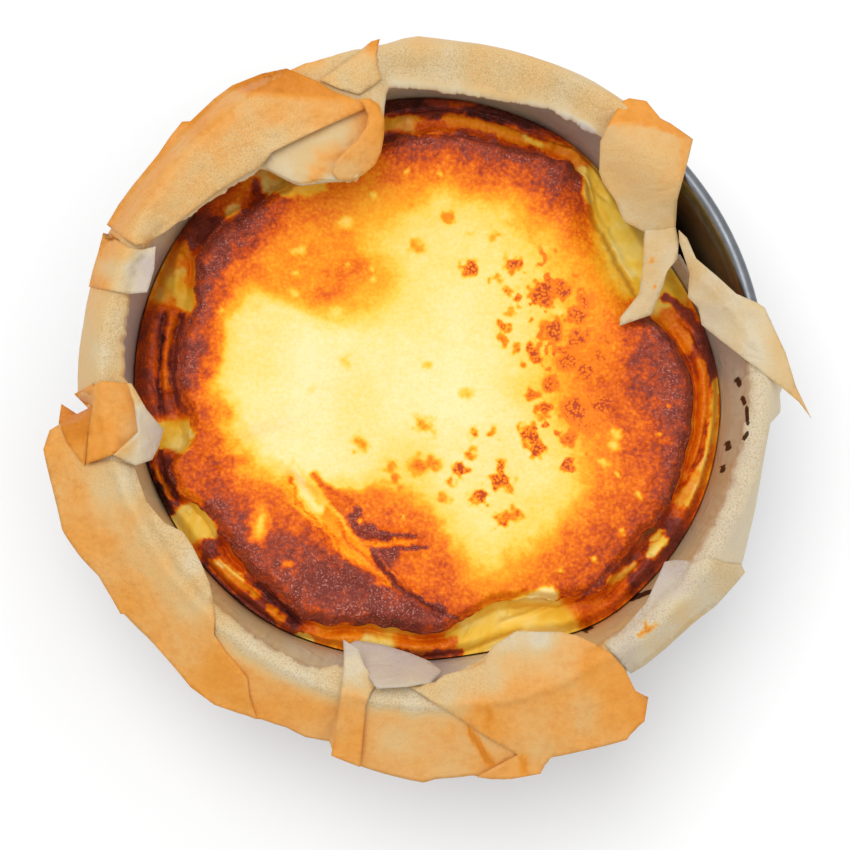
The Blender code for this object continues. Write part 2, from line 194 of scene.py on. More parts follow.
class Finish:
    # a material and short ways to add nodes to it
    def __init__(self, name):
        self.material = bpy.data.materials.new(name)
        self.material.use_nodes = True
        self.tree = self.material.node_tree
        self.shader = self.tree.nodes["Principled BSDF"]
        self.place = self.add("ShaderNodeTexCoord").outputs["Object"]

    def add(self, kind, **settings):
        node = self.tree.nodes.new(kind)
        for key, value in settings.items():
            setattr(node, key, value)
        return node

    def link(self, source, target):
        if isinstance(source, (int, float, tuple)):
            target.default_value = source
        else:
            self.tree.links.new(source, target)

    def shade(self, name, source):
        self.link(source, self.shader.inputs[name])

    def layer(self, name):
        return self.add("ShaderNodeAttribute", attribute_name=name).outputs["Fac"]

    def maths(self, operation, a, b=0.0, c=0.0):
        node = self.add("ShaderNodeMath", operation=operation)
        for value, socket in zip((a, b, c), node.inputs):
            self.link(value, socket)
        return node.outputs[0]

    def plus(self, a, b):
        return self.maths("ADD", a, b)

    def minus(self, a, b):
        return self.maths("SUBTRACT", a, b)

    def times(self, a, b):
        return self.maths("MULTIPLY", a, b)

    def scaled(self, value, factor, offset):
        # value * factor + offset
        return self.maths("MULTIPLY_ADD", value, factor, offset)

    def least(self, a, b):
        return self.maths("MINIMUM", a, b)

    def most(self, a, b):
        return self.maths("MAXIMUM", a, b)

    def noise(self, scale, detail=3.0, rough=0.55, warp=0.0):
        node = self.add("ShaderNodeTexNoise")
        self.link(self.place, node.inputs["Vector"])
        node.inputs["Scale"].default_value = scale
        node.inputs["Detail"].default_value = detail
        node.inputs["Roughness"].default_value = rough
        node.inputs["Distortion"].default_value = warp
        return node.outputs["Fac"]

    def cells(self, scale):
        node = self.add("ShaderNodeTexVoronoi")
        self.link(self.place, node.inputs["Vector"])
        node.inputs["Scale"].default_value = scale
        return node.outputs["Distance"]

    def band(self, value, low, high):
        # 0 at low to 1 at high, smoothly
        node = self.add("ShaderNodeMapRange", interpolation_type="SMOOTHSTEP")
        for item, socket in zip((value, low, high), node.inputs):
            self.link(item, socket)
        return node.outputs[0]

    def ramp(self, value, stops):
        node = self.add("ShaderNodeValToRGB")
        bar = node.color_ramp
        while len(bar.elements) < len(stops):
            bar.elements.new(0.5)
        for element, (position, colour) in zip(bar.elements, stops):
            element.position = position
            element.color = colour
        self.link(value, node.inputs["Fac"])
        return node.outputs["Color"]

    def blend(self, share, first, second, kind="MIX"):
        node = self.add("ShaderNodeMix", data_type="RGBA", blend_type=kind)
        self.link(share, node.inputs[0])
        self.link(first, node.inputs[6])
        self.link(second, node.inputs[7])
        return node.outputs[2]

    def bump(self, height, strength, distance):
        node = self.add("ShaderNodeBump")
        self.link(height, node.inputs["Height"])
        self.link(strength, node.inputs["Strength"])
        node.inputs["Distance"].default_value = distance
        return node.outputs["Normal"]


cake = {
    "rings": 168,
    "topRings": 132,            # rings out to the crust's edge
    "baseZ": 1.9,
    "centreZ": 47.0,
    "ridgeRise": 5.0,           # height of the ridge round the top over the middle
    "ridgeAt": 0.93,            # share of the way out to the crust's edge
    "ridgeWidth": 0.05,
    # where the ridge stands higher: from, to, by how much
    "ridges": ((145, 190, 1.3), (58, 100, 1.0), (212, 262, 1.4), (-28, 12, 1.1)),
    "fallen": (18, 54),         # angles where the ridge has fallen in
    "openLip": (18, 52),        # angles where no lip hangs over the ledge
    "lipTuck": 0.9,
    "lipDrop": 3.5,
    "leastLedge": 1.5,
    "ledgeZ": 42.5,
    "shoulderZ": 38.5,
    # side and base: height and how far in from the edge
    "sideRows": ((36.0, 0.0), (31.0, 0.0), (22.0, 0.0), (12.0, 0.0), (4.4, 0.0), (2.6, 0.8), (1.9, 2.6)),
    "foldLevels": (50.0, 43.5),     # heights of top and ledge on which the folds are read
    "spotRise": 0.35,
    "netRing": (33.0, 40.0, 56.0, 62.0),    # radii where the net of flecks fades in and out
    "netAngles": (-22.0, 46.0, 10.0),       # from, to, how soft
    "fineBubbles": {"height": 0.34, "size": 1.7, "seed": 51},
    "wideBubbles": {"height": 0.3, "size": 3.4, "seed": 53},
    "paleTone": 0.07,
    "paleSlope": 0.06,          # how much browner the pale middle gets to the upper right
    "lastStep": 14.0,           # beyond the last step of tone
    "lastTone": 0.84,
    # clouds: (height, size, seed) each
    "edgeWander": ((0.7, 4.0, 3), (0.3, 1.5, 4)),
    "swell": ((0.9, 24.0, 11),),
    "wrinkle": ((0.35, 2.4, 21),),
    "fineWrinkle": ((0.22, 1.1, 22),),
    "toneBlur": ((1.7, 7.0, 31), (1.3, 2.8, 32), (0.6, 1.3, 34)),
    "paleClouds": ((0.05, 16.0, 33),),
    "ledgeClouds": ((0.06, 3.0, 35),),
    "blotches": ((0.035, 4.2, 36), (0.03, 1.9, 37)),
    "strokeBlurX": ((0.55, 2.4, 41), (0.3, 1.0, 43)),
    "strokeBlurY": ((0.55, 2.4, 42), (0.3, 1.0, 44)),
    "laceBlur": ((1.2, 1.9, 45), (0.5, 0.9, 48)),
    "laceNet": ((1.0, 2.6, 46), (0.7, 1.3, 47)),
    "skinGrain": ((0.22, 1.3, 52),),
    "paleGrain": ((0.07, 1.6, 54),),
    # soft width of the pale middle: angle and width
    "paleEdge": ((0, 14), (120, 14), (146, 12), (156, 5), (206, 5), (220, 8), (240, 14)),
    # outline of the cake and of its crust: angle and radius
    "edge": ((0, 97.0), (20, 92.0), (32, 89.5), (44, 90.5), (62, 96.0), (90, 98.0), (130, 97.0),
             (165, 98.2), (184, 98.0), (206, 96.2), (235, 95.0), (252, 92.0), (280, 89.6), (292, 91.0),
             (304, 96.5), (335, 98.2)),
    "crustEdge": ((0, 85.6), (8, 81.5), (17, 75.5), (32, 75.0), (45, 78.0), (54, 87.0), (63, 86.0),
                  (72, 82.5), (90, 83.2), (102, 80.0), (118, 79.0), (132, 81.0), (144, 87.2), (152, 87.6),
                  (162, 81.2), (178, 83.6), (189, 79.8), (194, 80.5), (199, 91.5), (205, 90.0), (210, 84.0),
                  (224, 85.0), (244, 87.4), (256, 80.6), (270, 82.0), (280, 76.8), (287, 73.8), (296, 79.0),
                  (308, 88.0), (320, 84.6), (332, 87.0), (348, 86.4)),
}

# how brown the top is: angle and the radius where each tone begins
tones = {
    0.20: ((0, 30), (10, 32), (20, 36), (30, 40), (40, 46), (50, 52), (60, 56), (70, 58), (80, 58),
           (90, 57), (100, 52), (110, 46), (118, 40), (126, 34), (134, 32), (142, 33), (150, 38), (154, 60),
           (158, 64), (164, 66), (180, 66), (196, 66), (202, 63), (208, 59), (214, 56), (220, 50),
           (228, 46), (236, 40), (244, 36), (252, 34), (262, 34), (270, 38), (276, 46), (282, 56),
           (290, 61), (300, 58), (306, 57), (312, 57), (320, 57), (326, 52), (330, 47), (335, 43),
           (342, 38), (350, 34)),
    0.42: ((0, 44), (10, 46), (20, 50), (30, 56), (36, 62), (44, 62), (50, 63), (60, 64), (70, 65),
           (80, 65), (90, 65), (100, 62), (110, 62), (117, 60), (122, 46), (128, 38), (138, 38), (144, 42),
           (149, 56), (152, 67), (158, 69), (170, 69), (180, 69.5), (190, 69.5), (200, 69), (206, 66.5),
           (211, 62.5), (216, 60.5), (222, 60), (228, 48), (234, 44.5), (242, 40), (250, 38), (260, 38),
           (268, 41), (274, 50), (279, 60), (284, 66), (290, 69), (296, 66), (302, 65), (308, 64.5),
           (314, 64.5), (320, 63.5), (326, 61.5), (330, 60), (335, 58), (340, 51), (345, 46), (350, 44)),
    0.56: ((0, 56), (10, 61), (16, 66), (22, 74), (30, 84), (38, 82), (42, 74), (46, 68), (52, 67),
           (60, 68.5), (70, 69.5), (80, 70), (90, 70.5), (100, 69), (108, 74), (114, 80), (122, 80),
           (128, 72), (136, 64), (144, 66), (150, 71), (160, 71.5), (170, 71), (180, 72), (190, 74.5),
           (200, 71.5), (206, 69), (211, 65.5), (216, 62.5), (222, 62), (227, 53), (232, 47.5), (240, 45),
           (250, 42.5), (260, 43.5), (268, 47), (274, 56), (278, 66), (282, 80), (290, 82), (296, 74),
           (302, 70.5), (308, 69), (316, 69), (324, 67.5), (330, 66), (336, 64.5), (344, 60), (350, 54)),
    0.70: ((0, 65), (10, 66.5), (16, 68), (22, 80), (30, 92), (42, 92), (46, 78), (50, 74), (56, 73),
           (64, 73.5), (72, 73.5), (80, 73.5), (90, 74), (98, 76), (104, 82), (112, 88), (124, 88),
           (130, 78), (136, 73), (144, 73), (150, 75), (158, 75), (166, 74.5), (174, 75), (182, 77),
           (190, 82), (195, 84), (200, 82), (205, 78), (209, 75), (213, 74), (218, 79), (224, 76),
           (230, 65), (236, 63), (242, 64), (250, 66), (258, 69), (266, 73), (272, 77), (278, 88),
           (284, 94), (296, 92), (304, 84), (310, 81), (318, 82), (326, 81), (332, 80), (338, 79),
           (344, 76), (350, 70.5)),
    0.80: ((0, 72), (10, 73), (16, 76), (22, 90), (30, 98), (44, 98), (50, 86), (56, 82), (62, 80),
           (70, 77.5), (80, 76.5), (88, 79), (96, 83), (104, 92), (130, 95), (134, 82), (140, 78),
           (148, 77.5), (156, 78), (166, 78.5), (176, 79), (184, 83), (190, 88), (200, 92), (206, 90),
           (210, 80), (216, 84), (222, 82), (228, 76), (234, 71), (242, 66.5), (250, 68), (258, 71),
           (266, 75), (272, 79), (278, 92), (290, 98), (310, 98), (318, 94), (326, 90), (332, 88),
           (340, 86), (346, 83), (352, 77)),
}

# filled patches of tone on the cake: outline of (angle, radius) points, tone, how soft
tonePatches = (
    # fallen-in pale part at the upper right
    (((22, 75), (24, 69), (30, 66), (36, 68), (42, 72), (46, 76), (49, 79), (53, 84), (44, 87), (34, 86),
      (24, 84)), 0.27, 6.0),
    # dark lower left, its red-brown start and the pale spot in it
    (((223, 70), (229, 67), (235, 65), (240, 64.5), (245, 65.4), (252, 66), (258, 68.5), (266, 72.5),
      (273, 76), (277, 80), (272, 84), (262, 82.5), (252, 82.5), (240, 87), (230, 87), (221, 85), (214, 80),
      (216, 73)), 0.79, 6.0),
    (((240, 66), (248, 66.5), (256, 69.5), (264, 73), (270, 76), (268, 82), (256, 80), (244, 80),
      (236, 78)), 0.85, 5.0),
    (((215.5, 68.5), (219, 67.5), (222, 70), (224, 75.5), (221.5, 78), (218, 74.5)), 0.42, 4.6),
    # lobe at the left
    (((195.5, 80), (196.5, 86), (200, 90.5), (205, 90), (208.8, 84.5), (208, 78), (204, 75.5), (199, 75)),
     0.71, 2.5),
    # long break that runs into the dark part
    (((211.5, 52), (216, 51.7), (222, 51.4), (229, 51.4), (235, 52), (239, 53.6), (242, 56), (247, 57.8),
      (251, 59.4), (254, 62.4), (258.5, 67), (252, 65.4), (246, 64.6), (240.6, 63.6), (237.4, 61),
      (232, 60.2), (226, 60.4), (221, 59.4), (217, 57.6), (213, 54.6), (209, 52.4)), 0.27, 1.6),
    # flap above the break, its slit, and the flap below
    (((260, 55.6), (268, 54.2), (274, 56), (276.5, 62), (273, 71), (266, 70), (260, 65)), 0.60, 3.5),
    (((238.2, 47.4), (242, 48.6), (246, 51.2), (251, 51.4), (257, 50.4), (265, 49.9), (262, 51.4),
      (256, 53.6), (250, 55.4), (245.5, 56.2), (241.5, 54.8), (238.8, 51.4)), 0.85, 0.9),
    (((250, 58), (255, 56.6), (260, 55.6), (259, 59), (257.5, 64.5), (253, 61.6)), 0.80, 1.8),
)

# tone of the ledge outside the crust
ledgeTone = (
    (0, 0.60), (8, 0.80), (14, 0.55), (20, 0.32), (30, 0.20), (48, 0.20), (52, 0.30), (58, 0.52),
    (66, 0.76), (80, 0.74), (96, 0.86), (100, 0.85), (110, 0.50), (125, 0.35), (132, 0.50), (140, 0.62),
    (148, 0.85), (153, 0.50), (160, 0.38), (164, 0.42), (166, 0.73), (188, 0.75), (190, 0.28),
    (194, 0.28), (197, 0.85), (206, 0.85), (208, 0.24), (214, 0.24), (217, 0.80), (222, 0.60),
    (232, 0.80), (242, 0.80), (246, 0.45), (262, 0.38), (270, 0.55), (275, 0.40), (280, 0.18),
    (298, 0.16), (302, 0.60), (312, 0.62), (318, 0.80), (327, 0.84), (334, 0.60), (342, 0.48),
    (350, 0.46),
)

# strokes of tone on the cake: (angle, radius) points, half width, tone, how soft
toneStrokes = (
    # orange patch at the upper left and its deeper middle
    (((140, 44), (130, 40), (120, 38)), 8.0, 0.38, 13.0),
    (((142, 62), (128, 56)), 8.0, 0.45, 10.0),
    (((136, 46), (123, 44)), 3.4, 0.55, 6.0),
    (((145, 47), (134, 42)), 2.6, 0.53, 5.0),
    # top outside: lobe, drip and dark outermost band
    (((103, 87), (98, 86), (93, 85)), 3.0, 0.40, 2.0),
    (((92, 84), (86, 84.5)), 2.6, 0.62, 2.0),
    (((86, 87), (80, 87.5), (75, 86.5), (70, 85.5)), 2.3, 0.46, 1.6),
    (((69, 86.5), (64, 87)), 1.4, 0.34, 1.8),
    (((63, 87), (59, 88.5), (56, 89)), 2.6, 0.45, 1.4),
    (((54, 85.5), (52, 83.5)), 1.8, 0.26, 1.2),
    (((102, 95), (96, 95), (91, 94.5)), 4.0, 0.95, 1.4),
    (((90, 94.5), (84, 94)), 3.0, 0.80, 1.6),
    (((82, 92), (76, 91.5), (71, 92), (66, 94.5)), 3.0, 0.92, 1.6),
    (((86, 92), (80, 94.5), (74, 95)), 1.0, 0.66, 1.2),
    (((62, 92.5), (58, 95.5)), 1.4, 0.78, 1.2),
    # bare custard at the right above the strip
    (((50, 82), (46, 82), (40, 82), (33, 79), (26, 80)), 3.6, 0.22, 2.0),
    (((30, 72), (24, 74)), 3.0, 0.30, 3.0),
    # right side folds
    (((15, 80), (11, 83), (8, 84)), 2.6, 0.50, 1.6),
    (((20, 82), (16, 86), (13, 88)), 1.4, 0.82, 1.2),
    (((11, 90), (7, 91), (3, 92), (0, 92.5)), 2.6, 0.86, 1.4),
    (((4, 88.5), (0, 89), (-6, 89.5), (-12, 89), (-17, 88.5)), 1.5, 0.52, 1.2),
    (((0, 93), (-7, 92.5), (-12, 92), (-20, 92), (-26, 92)), 1.2, 0.36, 1.4),
    (((-9, 90.8), (-13, 91), (-17, 90.3), (-21, 88.6), (-25, 87)), 0.6, 0.72, 0.7),
    (((-20, 91), (-26, 89.5)), 1.8, 0.42, 1.6),
    # lower right: dark folds with cream spots
    (((-31, 91.5), (-35, 92)), 2.6, 0.86, 1.6),
    (((-35, 90.6), (-39, 90.6)), 1.7, 0.24, 2.0),
    (((-33.5, 88.8), (-36, 88)), 0.6, 0.24, 1.0),
    (((-41, 92.5), (-45, 92)), 2.2, 0.84, 1.8),
    (((-43, 88.5), (-46, 88), (-49, 87)), 1.2, 0.40, 1.0),
    (((-50, 88), (-56, 89)), 1.6, 0.60, 1.5),
    (((-47, 84), (-53, 84.5), (-57, 85)), 0.5, 0.80, 0.6),
    # bottom: pale fallen custard
    (((298, 79), (291, 79), (284, 78.5)), 3.2, 0.08, 2.0),
    (((282, 84), (277, 83), (274, 84)), 3.0, 0.24, 2.5),
    (((295, 84.5), (286, 84), (279, 86)), 2.4, 0.20, 2.0),
    (((274, 84.5), (270, 86)), 2.2, 0.55, 2.0),
    (((275, 88), (268, 89), (262, 88.5)), 1.2, 0.82, 1.4),
    (((268, 86.5), (265, 86), (262, 85)), 1.7, 0.50, 1.5),
    (((261, 85.5), (254, 85.8)), 1.5, 0.30, 2.2),
    (((254, 85.5), (250, 86), (246, 88.5)), 1.8, 0.46, 2.2),
    (((244.5, 93.5), (243, 93)), 1.8, 0.10, 1.4),
    # lower left ledge
    (((242, 96), (238, 95.5), (232, 95.5), (226, 95.5), (220, 95)), 1.8, 0.90, 1.2),
    (((241, 89), (235, 88), (230, 87)), 1.6, 0.92, 1.2),
    (((238, 91), (235, 90.5)), 1.6, 0.52, 1.4),
    (((233, 92.5), (230, 92)), 1.8, 0.82, 1.6),
    (((231, 89.5), (227, 89.5), (223, 90.2), (219.5, 91.5)), 1.7, 0.44, 2.0),
    (((226.5, 88.6), (223.5, 89.6), (221, 90.8)), 0.7, 0.32, 1.2),
    (((218.5, 90.5), (216.5, 89)), 2.0, 0.84, 1.6),
    (((217, 94), (216, 96)), 1.6, 0.52, 1.4),
    (((214, 87), (211.5, 88.5), (209, 91)), 3.2, 0.25, 1.2),
    # left: lobe, its dark outer strips and custard between
    (((196, 82), (199, 83), (202, 84)), 5.0, 0.66, 3.0),
    (((203, 88), (206, 87), (208, 84.5)), 1.4, 0.56, 1.4),
    (((195.5, 91), (199, 90), (203, 90.5), (206, 91.5)), 1.0, 0.88, 0.9),
    (((197, 93.5), (201, 93), (205, 93)), 1.0, 0.52, 1.0),
    (((196.5, 96.5), (200, 96), (204, 95), (207, 94.5)), 1.7, 0.97, 0.9),
    (((191.5, 88.5), (193.5, 86), (194.5, 84)), 3.0, 0.27, 1.6),
    (((191.5, 82.5), (193, 80.5)), 1.6, 0.12, 1.2),
    (((166.5, 86.8), (172, 86.8), (178, 86.6), (182, 86.2)), 1.1, 0.60, 0.9),
    (((166, 84), (172, 84.2), (180, 84.2), (186, 83)), 0.9, 0.86, 0.8),
    (((166, 89.6), (173, 89), (180, 88.4), (186, 88)), 0.6, 0.92, 0.6),
    (((165.5, 87), (165.5, 93)), 0.9, 0.62, 0.8),
    (((163, 84), (160, 86), (157, 88)), 3.0, 0.34, 1.8),
    (((159, 84), (155, 88), (152, 92)), 1.6, 0.46, 1.6),
    (((150, 90), (147, 89), (144, 88)), 2.2, 0.86, 1.6),
    (((141, 86), (139, 86)), 1.9, 0.36, 1.6),
    (((136, 88), (133, 86)), 1.5, 0.55, 1.4),
    (((132, 86), (134, 82), (138, 80.5)), 2.4, 0.80, 1.8),
    (((130, 84), (127, 79), (124, 76), (120, 74)), 2.6, 0.28, 2.2),
    # pale islands in the brown
    (((152, 73), (153, 75), (149, 74)), 1.2, 0.50, 2.6),
    (((219.5, 71.5), (221, 74)), 1.2, 0.24, 2.6),
    (((231.5, 75.8), (232.5, 75.2)), 1.5, 0.50, 1.8),
    # inside the long break: cream, then orange with deeper lines
    (((232, 55.4), (240, 59), (248, 61.4), (257, 65.8)), 2.4, 0.42, 2.2),
    (((213, 53), (218, 54.2), (224, 55.6), (229, 56)), 1.3, 0.08, 1.6),
    (((215, 56), (222, 58.8), (230, 59.2), (238, 60.2), (242, 63.4), (250, 64.8), (257, 67)), 0.4, 0.58,
     1.0),
    (((236, 55), (242, 59), (248, 60.8), (254, 64)), 0.45, 0.54, 0.6),
    # bubbly fringe above it and the dark lines of the two flaps
    (((219, 49.6), (224, 49.2), (229, 48.8), (236, 48.4)), 1.0, 0.64, 2.2),
    (((245.5, 57.8), (252, 55.9), (258, 54.2), (264, 52.6)), 0.5, 0.44, 0.8),
    (((250, 58.4), (256, 56.9), (262, 55.2), (268, 54)), 0.7, 0.88, 0.8),
    (((251, 60), (255, 63.2), (260, 67.4), (266, 71), (272, 74.2)), 0.8, 0.92, 0.8),
    (((272, 74.2), (276, 78)), 0.5, 0.86, 0.8),
)

# pale bubbles on the top: angle, radius, size
paleSpots = (
    (119, 59, 3.0), (135.6, 60.4, 1.8), (137, 61.5, 1.4), (141.8, 56.5, 1.3), (148, 53.5, 2.3),
    (126.3, 46.7, 1.3), (118.8, 41.6, 1.2), (119.8, 38.2, 1.6), (145.5, 38.3, 2.8), (343.8, 62, 2.6),
    (340.7, 62.8, 2.4), (334, 61.5, 2.2), (331, 77, 1.9), (29, 46.4, 2.6), (333, 68, 1.4),
    (321.5, 79, 1.3), (354, 78, 1.0), (108, 64, 1.5), (97, 69, 1.2), (88, 68.5, 1.2), (243.5, 51, 1.2),
    (258, 46, 1.3), (256, 53, 0.9), (312, 78, 1.4), (304, 74, 1.2), (346.5, 76, 1.2), (162, 72, 1.0),
    (196, 65, 1.2), (34, 33, 6.0),
)

# clusters of brown lace in the pale middle: angle, radius, size, how dark
laceSpots = (
    (71.5, 39.2, 3.4, 0.9), (55, 46, 4.2, 1.0), (58.4, 39.9, 2.6, 0.6), (49.4, 39, 2.8, 0.6),
    (38.5, 46.1, 5.4, 1.0), (34.4, 52.5, 3.4, 0.9), (24.4, 52, 3.4, 0.8), (27.7, 55.9, 3.0, 0.6),
    (22.7, 42.8, 5.0, 0.9), (16.5, 50, 3.6, 0.8), (37, 29, 2.8, 0.7), (31, 27, 2.6, 0.6),
    (15.6, 34.3, 3.8, 0.9), (12, 29.5, 2.4, 0.5), (7.7, 44.8, 4.2, 0.8), (3, 50, 3.8, 0.8),
    (359, 38, 3.4, 0.6), (352, 33, 2.8, 0.6), (345.3, 37.1, 3.0, 0.8), (348, 47.4, 5.0, 1.0),
    (352, 56, 4.6, 0.8), (332, 34.6, 3.4, 1.0), (329, 37.4, 3.2, 1.0), (326, 40.6, 3.2, 0.9),
    (337, 48, 3.0, 0.6), (327.8, 52.4, 2.2, 0.9), (304.4, 39.8, 4.2, 1.1), (307, 37, 3.0, 0.9),
    (291.8, 41.2, 3.6, 0.9), (286, 30.7, 3.2, 0.9), (281, 33, 2.6, 0.6), (306.5, 21.6, 2.4, 0.6),
    (318, 26, 2.4, 0.6), (297, 26.9, 2.6, 0.6), (295.9, 49.8, 3.4, 0.7), (301.2, 51.2, 3.2, 0.6),
    (338, 12.5, 3.0, 0.4), (255, 14.4, 3.6, 0.5), (266, 15.5, 3.4, 0.5), (262, 28, 5.0, 0.5),
    (270, 27, 4.0, 0.5), (249, 34.5, 3.4, 0.45), (245, 32, 3.2, 0.4), (223, 31.4, 3.8, 0.5),
    (275, 38.5, 3.4, 0.4), (168, 29, 3.2, 0.3), (185, 39, 2.6, 0.2), (115, 5.5, 2.8, 0.35),
    (84.9, 54, 2.4, 0.4), (77.2, 49.6, 2.2, 0.35), (67.6, 51.4, 2.2, 0.35), (96.6, 44.2, 4.0, 0.4),
    (8, 55, 3.6, 0.7), (14, 58, 3.4, 0.6), (0, 57, 3.8, 0.7), (343, 53, 3.0, 0.6), (20, 30, 2.6, 0.5),
    (42, 34, 2.4, 0.4),
)

# relief of the cake: (angle, radius) points, half width, height; - is a groove
cakeFolds = (
    (((165.5, 84.4), (172, 84.3), (180, 84.1), (187, 83)), 1.0, -2.2),
    (((166, 87), (171, 86.8), (177, 86.5), (184, 85.8)), 1.3, 1.5),
    (((165.5, 89.8), (172, 89.2), (178, 88.6), (184, 88.2), (189, 88)), 0.8, -2.0),
    (((167, 93.5), (175, 93), (184, 92.4)), 2.6, 1.6),
    (((181, 91.5), (184, 89.6), (186, 89)), 0.6, -0.8),
    (((165, 84), (165.3, 88), (165.2, 94)), 0.8, 1.0),
    (((163.5, 84), (163.8, 90)), 1.6, -1.8),
    (((151, 88), (155, 87), (159, 84)), 0.9, -1.6),
    (((153, 92), (157, 90.5), (162, 88)), 1.6, 1.4),
    (((132.4, 86), (134, 83.5), (137, 82), (141.5, 82.6)), 1.8, -2.6),
    (((136, 87.5), (141, 87), (146, 88.5)), 1.8, 1.4),
    (((58, 86.6), (63, 85.2), (68, 83.6), (74, 82.4), (82, 81.8), (92, 82.6)), 0.9, -1.6),
    (((62, 88), (68, 86.5), (74, 86), (80, 87), (86, 87), (92, 86), (99, 86.5)), 2.2, 1.7),
    (((60, 91.5), (64, 90.2), (70, 89.2), (76, 89.8), (82, 90.6), (88, 91), (94, 90.3), (100, 89.6)), 0.8,
     -2.0),
    (((63, 94.4), (69, 93), (76, 93.2), (84, 94), (92, 94.8), (99, 94.6)), 2.0, 1.2),
    (((71, 95), (76, 92.6), (81, 92)), 0.6, -0.8),
    (((56, 91.5), (60, 90.6)), 1.2, 0.9),
    (((55, 88), (53.4, 85), (51.6, 82.6)), 1.4, 1.4),
    (((50, 84), (46.5, 84)), 1.0, -1.2),
    (((13, 80.5), (8, 83.4), (4, 85.8), (-2, 87), (-12, 87.6), (-22, 87.6), (-29, 87.6)), 0.9, -1.9),
    (((8, 86.4), (2, 89), (-6, 89.6), (-12, 89.4), (-19, 88.8)), 1.5, 1.3),
    (((-8, 90.6), (-13, 91), (-17, 90.3), (-21, 88.8), (-26, 87.4)), 0.7, -1.6),
    (((2, 92.6), (-8, 92.8), (-14, 93), (-22, 92.6), (-29, 92)), 1.2, 1.0),
    (((14, 84.5), (11, 87.5), (7, 88.6)), 0.7, -1.5),
    (((12, 90), (7, 91.6), (2, 91.4)), 1.6, 1.2),
    (((-32, 89.5), (-36, 88.4), (-40, 88.5)), 0.9, -1.8),
    (((-35, 92), (-39, 91.4)), 2.0, 1.0),
    (((-40, 90.2), (-46, 90), (-52, 91)), 0.9, -1.4),
    (((-44, 88), (-49, 87)), 1.0, 0.9),
    (((-46, 83.8), (-52, 84.2), (-57, 85.4)), 0.7, -1.1),
    (((-49, 86), (-55, 87)), 1.0, 0.7),
    (((300, 82), (292, 81.6), (285, 81.4)), 0.9, -1.2),
    (((298, 78.6), (291, 78.6), (285, 78.8)), 2.6, 1.0),
    (((289, 76), (288, 80)), 0.6, -0.8),
    (((281, 76), (279.5, 80), (277, 84)), 0.8, -1.0),
    (((290, 86), (283, 86.6), (276, 89)), 0.8, -1.0),
    (((247, 88.4), (253, 83.6), (260, 83.2), (267, 84), (274, 83.4)), 0.9, -2.0),
    (((249, 88.6), (256, 86), (264, 86.4), (272, 87)), 1.7, 1.2),
    (((257.5, 83.4), (259, 86.5)), 0.6, -0.7),
    (((266, 88.8), (270, 89.2), (275, 88.4)), 0.8, -0.8),
    (((217, 86), (222, 86.6), (228, 85.8), (235, 87), (243, 89.4)), 0.9, -2.2),
    (((218, 88.6), (223, 88.2), (228, 87.4)), 0.8, 1.0),
    (((219, 90), (224, 89.4), (229, 88.6), (234, 89)), 0.6, -1.2),
    (((218, 91.6), (224, 91.4), (230, 91), (238, 91.8), (243, 93)), 1.7, 1.6),
    (((219, 93.8), (226, 93.6), (234, 93.4), (240, 94)), 0.7, -1.2),
    (((208.5, 86), (208.8, 90)), 1.0, 0.9),
    (((215.6, 86), (216, 91)), 0.8, -1.1),
    (((195.5, 91.5), (199, 91.8), (204, 91.4), (207.6, 87.5)), 0.9, -1.8),
    (((196, 94), (201, 93.6), (206, 93.4)), 0.9, 0.9),
    (((196, 95.4), (201, 95), (206, 94.4)), 0.5, -0.9),
    (((190, 84), (192.5, 82.5), (195, 83.5)), 0.9, -1.0),
    # on the top itself
    (((212, 57), (219, 56), (226, 55.6), (233, 56.6), (240, 58.8)), 2.4, -2.0),
    (((239, 58.8), (244, 60.2), (250, 62.5), (257, 65.2)), 2.6, -2.2),
    (((213, 59.6), (222, 60.8), (231, 63), (240, 65.4), (247, 67.6), (254, 69)), 2.0, 1.2),
    (((214, 53), (221, 51.6), (229, 50.2), (237, 48.4)), 1.4, 0.9),
    (((238.6, 50.4), (243.5, 53.2), (249, 53.8), (256, 51.6), (263, 49.6)), 1.5, 1.3),
    (((246.5, 57.6), (252, 54.8), (260, 53.4), (267, 52)), 0.9, -1.2),
    (((253, 58.8), (259, 57), (267, 55.4)), 1.4, 1.1),
    (((252.5, 60.2), (256.5, 62.8), (262.5, 67), (268.5, 71.6), (274, 75)), 1.0, 1.4),
    (((256, 65.4), (261, 68.6), (267, 73.2), (273, 76.6)), 1.0, -1.3),
    (((147, 79), (141, 74), (134, 71)), 1.6, 0.8),
    (((152, 74), (155, 73), (158, 73.5)), 0.9, 0.7),
    (((136, 74), (142, 72.5), (147, 73.5)), 1.0, -0.8),
    (((192, 86), (197, 80), (203, 78)), 2.0, -0.8),
    (((208, 84), (205, 78), (202, 74)), 1.2, -1.0),
    (((354, 72), (346, 76), (338, 78), (331, 77)), 0.8, 0.7),
    (((342, 71), (350, 73)), 1.0, 0.5),
)


def ringFaces(start):
    # triangles between rings of 1, 6, 12, 18 ... points; start holds the first point of each ring
    faces = []
    for k in range(1, len(start) - 1):
        for sector in range(6):
            j = np.arange(k)
            outerA = start[k] + sector * k + j
            outerB = start[k] + (sector * k + j + 1) % (6 * k)
            if k == 1:
                innerA = np.zeros(1, dtype=int)
            else:
                innerA = start[k - 1] + (sector * (k - 1) + j) % (6 * (k - 1))
            faces += np.column_stack((outerA, outerB, innerA)).tolist()
            if k > 1:
                j = np.arange(k - 1)
                outerB = start[k] + sector * k + j + 1
                innerA = start[k - 1] + sector * (k - 1) + j
                innerB = start[k - 1] + (sector * (k - 1) + j + 1) % (6 * (k - 1))
                faces += np.column_stack((outerB, innerB, innerA)).tolist()
    return faces


